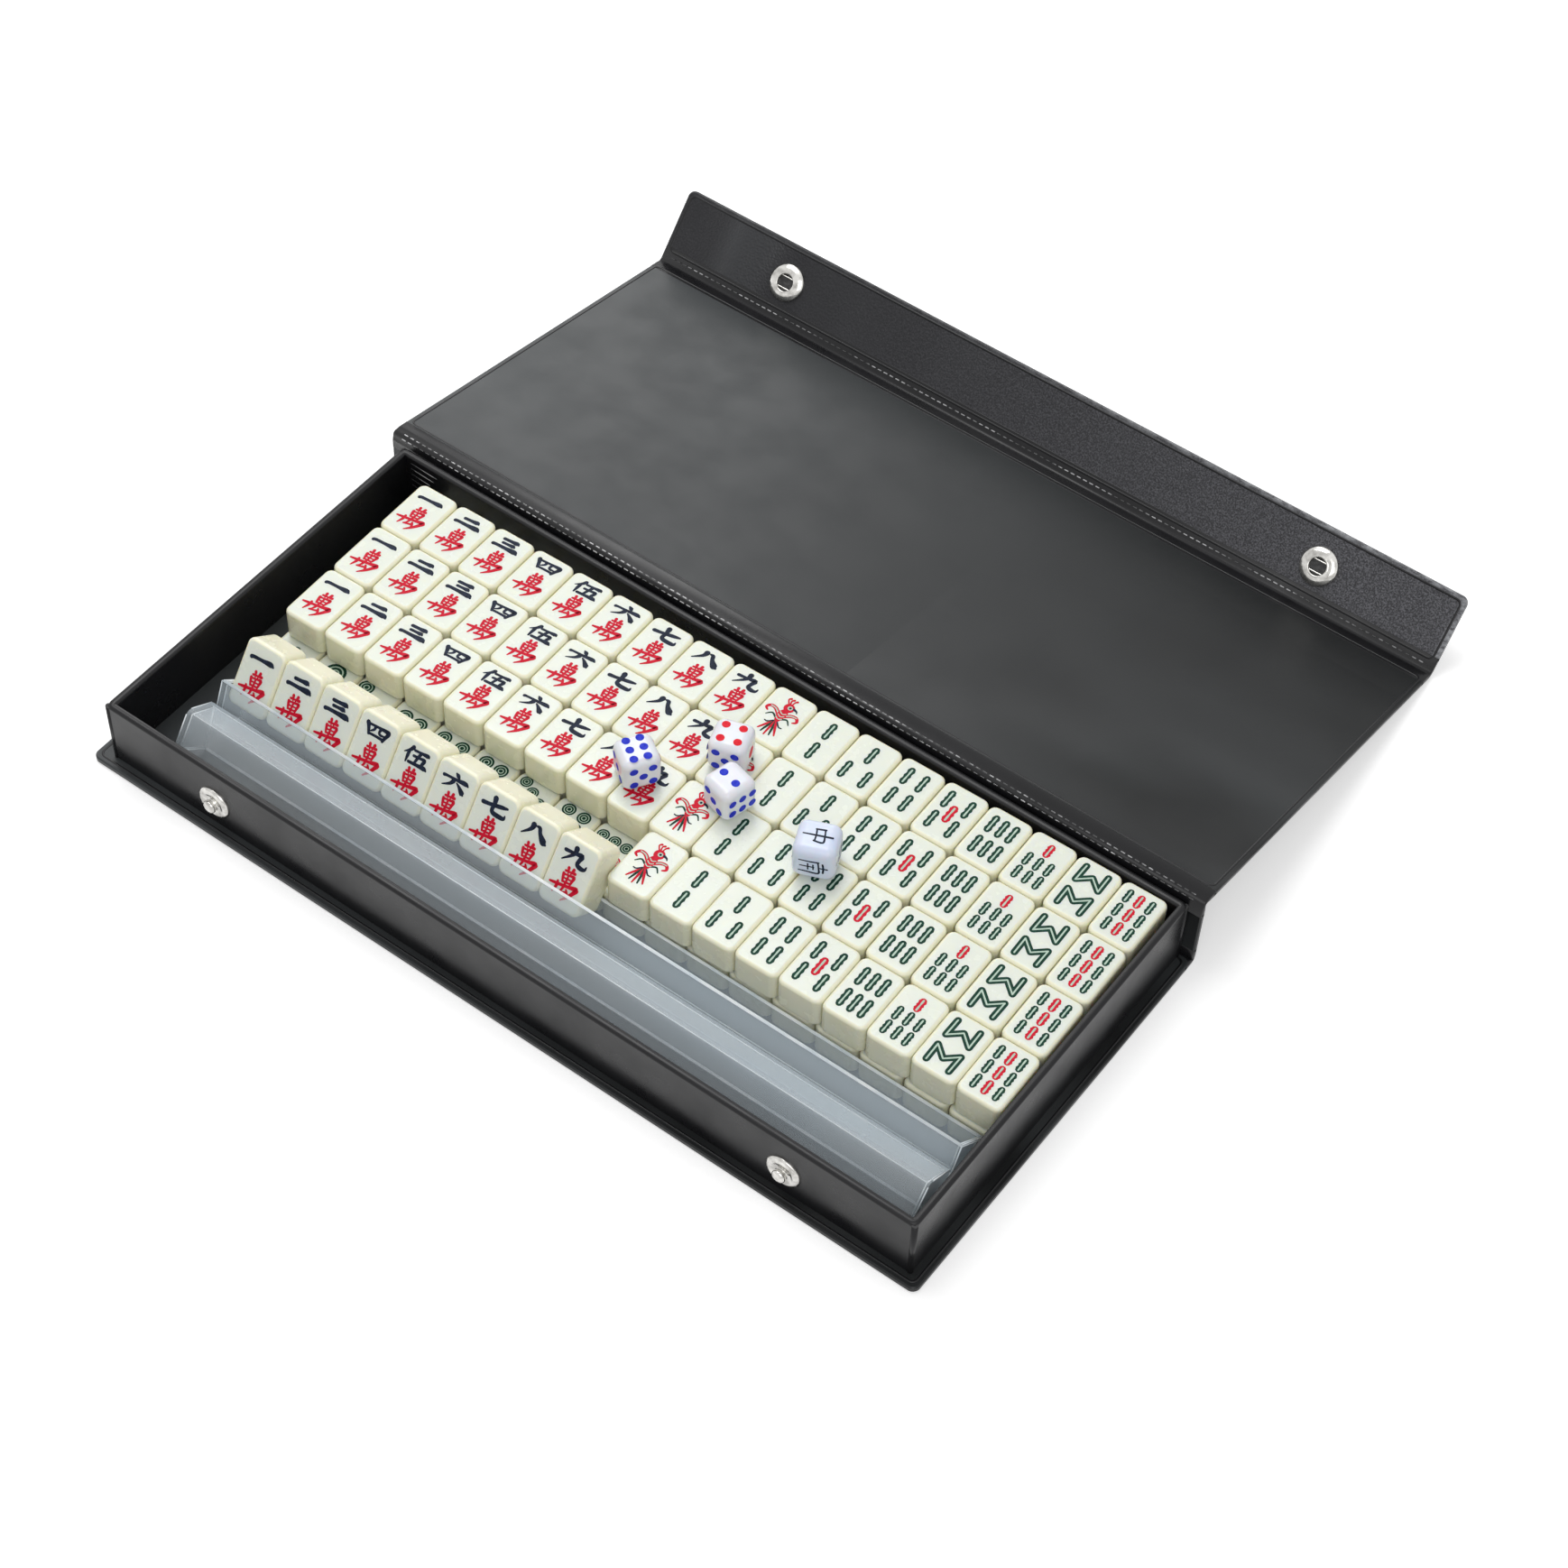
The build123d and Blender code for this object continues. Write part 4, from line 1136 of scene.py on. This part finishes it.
def fold_line(frame_in, frame_out, web_in, web_out, crease_half):
    """The middle of a fold's vinyl and its half thickness, from one panel to the other."""
    bend_in = frame_in @ Vector((0, web_in * BEND_SHARE, 0))
    bend_out = frame_out @ Vector((0, web_out * BEND_SHARE, 0))
    crease = frame_in.to_translation()
    line = [(frame_in @ Vector((0, web_in + lap, 0)), half) for lap, half in FOLD_LAPS]
    for step in range(FOLD_STEPS + 1):
        t = step / FOLD_STEPS
        point = bend_in * (1 - t) ** 2 + crease * 2 * t * (1 - t) + bend_out * t * t
        line.append((point, crease_half))
    line += [(frame_out @ Vector((0, web_out + lap, 0)), half) for lap, half in reversed(FOLD_LAPS)]
    return line


def add_fold(bm, line):
    """The fold's vinyl as one strip over the whole length, with rounded ends."""
    rings = []
    for x, share in FOLD_ENDS:
        upper = []
        under = []
        for i, (point, half) in enumerate(line):
            ahead = line[min(i + 1, len(line) - 1)][0] - line[max(i - 1, 0)][0]
            normal = Vector((0, -ahead.z, ahead.y)).normalized() * half * share * MM
            place = Vector((x * MM, point.y, point.z))
            upper.append(bm.verts.new(place + normal))
            under.append(bm.verts.new(place - normal))
        rings.append(upper + under[::-1])
    add_walls(bm, rings)
    for ring in (rings[0], rings[-1]):
        for i in range(len(line) - 1):
            bm.faces.new((ring[i], ring[i + 1], ring[-i - 2], ring[-i - 1]))


def add_dashes(bm, matrix, y, z):
    """A dashed weld line along x: short raised lozenges, whose finish carries painted glints."""
    outline = [
        (-DASH_LENGTH / 2, -DASH_TIP),
        (-DASH_LENGTH / 3, -DASH_HALF_WIDTH),
        (DASH_LENGTH / 3, -DASH_HALF_WIDTH),
        (DASH_LENGTH / 2, -DASH_TIP),
    ]
    outline += [(-u, -v) for u, v in outline]
    count = int((2 * HALF_LENGTH - DASH_MARGIN) / DASH_PITCH)
    for i in range(count):
        x = (i - (count - 1) / 2) * DASH_PITCH
        rings = []
        for share_u, share_v, height in ((1, 1, z - DASH_SINK), (*DASH_CROWN, z + DASH_HEIGHT)):
            ring = [Vector((x + u * share_u, y + v * share_v, height)) for u, v in outline]
            rings.append([bm.verts.new(matrix @ point) for point in ring])
        for face in (bm.faces.new(rings[1]), *add_walls(bm, rings)):
            face.material_index = 1


def make_fold(name, node, bodies, frames, webs, crease_half, dashes, start, end):
    """A hinge's vinyl strip, shaped as it lies at rest, in place of the node's web.

    webs are the lengths of bare vinyl on both sides of the hinge, dashes the weld lines as a frame, a y and a
    height; start and end are not used.
    """

    def build(bm):
        add_fold(bm, fold_line(*frames, *webs, crease_half))
        bmesh.ops.recalc_face_normals(bm, faces=bm.faces)
        for matrix, y, z in dashes:
            add_dashes(bm, matrix, y, z)

    piece = mesh_piece(name, build, [VINYL, WELD_GLINTS])
    for face in piece.data.polygons:
        face.use_smooth = face.material_index == 0
    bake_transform(piece)
    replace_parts(piece, node)


# Each fold's node, bodies, frames, webs, half thickness at the crease, dashes, and start and end.
FOLDS = {
    "base_spine_fold": (
        "spine_hinge_web", ("case_base", "spine"), (BASE_FROM_SPINE, SPINE), (1.15, 1.5), 0.62, [], 1.1, 1.4,
    ),
    "spine_lid_fold": (
        "lid_hinge_web", ("spine", "lid"), (SPINE_FROM_LID, LID), (2.5, 2.5), 0.62,
        [(LID, 0.75, 0.44), (SPINE, 25.75, 0.44)], 1.8, 1.8,
    ),
    "lid_flap_fold": (
        "flap_hinge_web", ("lid", "flap"), (LID_FROM_FLAP, FLAP_FRAME), (2.5, 2.5), 0.98,
        [(FLAP_FRAME, 2.7, 1.0)], 1.8, 1.8,
    ),
}
for fold_name, settings in FOLDS.items():
    make_fold(fold_name, *settings)

# A bead's section: (share of the half width, share of the height).
BEAD_SECTION = [(-1, 0), (-0.75, 0.66), (0, 1), (0.75, 0.66), (1, 0)]
WELD_REACH = HALF_LENGTH - 1.7
PANEL_BEAD = (0.4, 0.16, PANEL_HALF - 0.02)
# Each bead's body, frame, lowest and highest corner and corner radius, then its half width, height and foot.
BEADS = {
    "lid_weld": ("lid", LID, (-WELD_REACH, 6.6), (WELD_REACH, 134.6), 1.6, PANEL_BEAD),
    "flap_weld": ("flap", FLAP_FRAME, (-WELD_REACH, 4.6), (WELD_REACH, 24.9), 1.8, PANEL_BEAD),
    "ledge_weld": ("case_base", TO_METRES, (-WELD_REACH, -67.4), (WELD_REACH, 67.4), 1.8, (0.4, 0.16, 2.18)),
    "rim_roll": ("case_base", TO_METRES, (-144.05, -64.15), (145.65, 67.85), 1.1, (1.16, 0.5, 25.6)),
}
# The creases' start and length along the back wall, from the top one down.
CREASES = ((-140.5, 10.5), (-140.8, 9.5), (-140.6, 7.5), (-140.9, 6.5), (-140.7, 5))
CREASE_TOP = 23.2
CREASE_PITCH = 2.4
CREASE_SIZES = (0.16, 0.12, -0.01)
CREASE_STEPS = 4
CREASE_DROP = 0.12
BACK_WALL_Y = 66.6


def add_bead(bm, matrix, loop, half_width, height, base, closed=True):
    """A raised half-round line along a loop in the frame's plane."""
    rows = []
    for x, y, out_x, out_y in loop:
        row = []
        for across, up in BEAD_SECTION:
            shift = across * half_width
            point = Vector((x + out_x * shift, y + out_y * shift, base + up * height))
            row.append(bm.verts.new(matrix @ point))
        rows.append(row)
    pairs = list(zip(rows, rows[1:]))
    if closed:
        pairs.append((rows[-1], rows[0]))
    for row, after in pairs:
        for i in range(len(BEAD_SECTION) - 1):
            bm.faces.new((row[i], after[i], after[i + 1], row[i + 1])).smooth = True


def make_bead(name, body, matrix, low, high, radius, sizes):
    """A closed weld bead round a panel or a rim."""

    def build(bm):
        add_bead(bm, matrix, rounded_loop(low, high, radius), *sizes)

    rigid_piece(name, build, [VINYL], body)


def add_creases(bm):
    """Short parallel creases in the vinyl of the back wall, inside its left corner."""
    wall = Matrix.Translation((0, BACK_WALL_Y * MM, 0)) @ STAND @ TO_METRES
    for row, (start, length) in enumerate(CREASES):
        height = CREASE_TOP - CREASE_PITCH * row
        loop = []
        for k in range(CREASE_STEPS + 1):
            loop.append((start + length * k / CREASE_STEPS, height - CREASE_DROP * k, 0, 1))
        add_bead(bm, wall, loop, *CREASE_SIZES, closed=False)


for bead_name, settings in BEADS.items():
    make_bead(bead_name, *settings)
# The creases take the weld finish, with its painted glints.
rigid_piece("wall_creases", add_creases, [WELD_GLINTS], "case_base")


# ---- Rack edges and wall corners ----
SHARP_ANGLE = 0.6
SHORTEST_EDGE = 3 * MM
EDGE_ROD = 0.2
CORNER_ROD = 0.95
CORNER_X = (-144.6, 146.2)
CORNER_Y = (-64.7, 68.05)
CORNER_FOOT = 2.3
CORNER_TOP = 25.5
# A direction that no rod takes, which its section is turned from.
SKEW = Vector((0.3, 0.5, 0.8))


def sharp_edges(node):
    """Ends of a node's long sharp edges."""
    bm = joined_mesh(node)
    ends = []
    for edge in bm.edges:
        sharp = len(edge.link_faces) == 2 and edge.calc_face_angle() > SHARP_ANGLE
        if sharp and edge.calc_length() > SHORTEST_EDGE:
            ends.append(tuple(vert.co.copy() for vert in edge.verts))
    bm.free()
    return ends


def add_rod(bm, start, end, radius, sides=6):
    """A thin rod between two points."""
    along = (end - start).normalized()
    side = along.cross(SKEW).normalized() * radius * MM
    other = along.cross(side)
    rings = []
    for centre in (start, end):
        rings.append([bm.verts.new(centre + side * math.cos(a) + other * math.sin(a)) for a in turns(sides)])
    add_walls(bm, rings, smooth=True)
    bm.faces.new(rings[0][::-1])
    bm.faces.new(rings[1])


def add_corner_welds(bm):
    """The rounded upright corners of the tray's walls."""
    for x in CORNER_X:
        for y in CORNER_Y:
            add_rod(bm, Vector((x, y, CORNER_FOOT)) * MM, Vector((x, y, CORNER_TOP)) * MM, CORNER_ROD, 16)


def make_rack_edge_glints(node):
    """Painted glints along a clear rack's edges: thin pale rods."""

    def build(bm):
        for start, end in sharp_edges(node):
            add_rod(bm, start, end, EDGE_ROD)

    rigid_piece(f"{node}_edges", build, [CLEAR_EDGE_GLINT], BODY_OF[node])


make_rack_edge_glints("rack_rear")
make_rack_edge_glints("rack_front")
rigid_piece("wall_corners", add_corner_welds, [VINYL], "case_base")


# ---- Snap fasteners ----
# Outlines of the turned pieces as (radius, height) points.
STUD_PROFILE = [
    (5.8, 0), (5.8, 0.35), (5.6, 0.68), (5.1, 1.02), (4.4, 1.2), (3.8, 1.12), (3.2, 0.9), (2.6, 0.8),
    (2.0, 0.84), (1.8, 1.0), (1.8, 1.3), (2.1, 1.7), (2.25, 2.2), (2.1, 2.7), (1.65, 3.08), (0.9, 3.26),
    (0, 3.3),
]
SOCKET_PROFILE = [
    (6.4, 0), (6.4, 0.5), (6.25, 0.85), (5.9, 1.2), (5.3, 1.58), (4.7, 1.8), (4.2, 1.83), (3.8, 1.7),
    (3.5, 1.8), (3.2, 1.88), (2.98, 1.75), (2.9, 1.45), (2.9, 0.45),
]
WELL_PROFILE = [(2.9, 0.45), (1.6, 0.44), (0, 0.42)]
SNAP_X = 103.8
SNAP_SIDES = 40
STUD_Y = -65.3
STUD_Z = 12
SOCKET_OUT = 13.75
# Knurling of the socket's rim: every other point is lower between these radii.
KNURL_DEPTH = 0.12
KNURL_INNER = 4.5
KNURL_OUTER = 6.1
STUDS = Matrix.Translation((0, STUD_Y * MM, STUD_Z * MM)) @ STAND @ TO_METRES
SOCKETS = FLAP_FRAME @ Matrix.Translation((0, SOCKET_OUT, PANEL_HALF))


def add_lathe(bm, matrix, profile, knurl):
    """A form turned about the frame's z, with a knurl of the given depth."""
    rings = []
    for radius, height in profile:
        if radius == 0:
            rings.append([bm.verts.new(matrix @ Vector((0, 0, height)))])
            continue
        ring = []
        for side, turn in enumerate(turns(SNAP_SIDES)):
            drop = knurl * (side % 2) if KNURL_INNER < radius < KNURL_OUTER else 0
            point = (radius * math.cos(turn), radius * math.sin(turn), height - drop)
            ring.append(bm.verts.new(matrix @ Vector(point)))
        rings.append(ring)
    add_walls(bm, rings, smooth=True)


def make_snaps(name, place, profile, material, body, knurl=0.0):
    """A pair of turned pieces, one at each snap fastener."""

    def build(bm):
        for side in (-1, 1):
            add_lathe(bm, place @ Matrix.Translation((side * SNAP_X, 0, 0)), profile, knurl)

    return rigid_piece(name, build, [material], body)


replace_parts(make_snaps("snap_studs_turned", STUDS, STUD_PROFILE, NICKEL, "case_base"), "snap_studs")
sockets = make_snaps("snap_sockets_turned", SOCKETS, SOCKET_PROFILE, NICKEL, "flap", KNURL_DEPTH)
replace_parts(sockets, "snap_sockets")
make_snaps("socket_wells", SOCKETS, WELL_PROFILE, WELL, "flap")
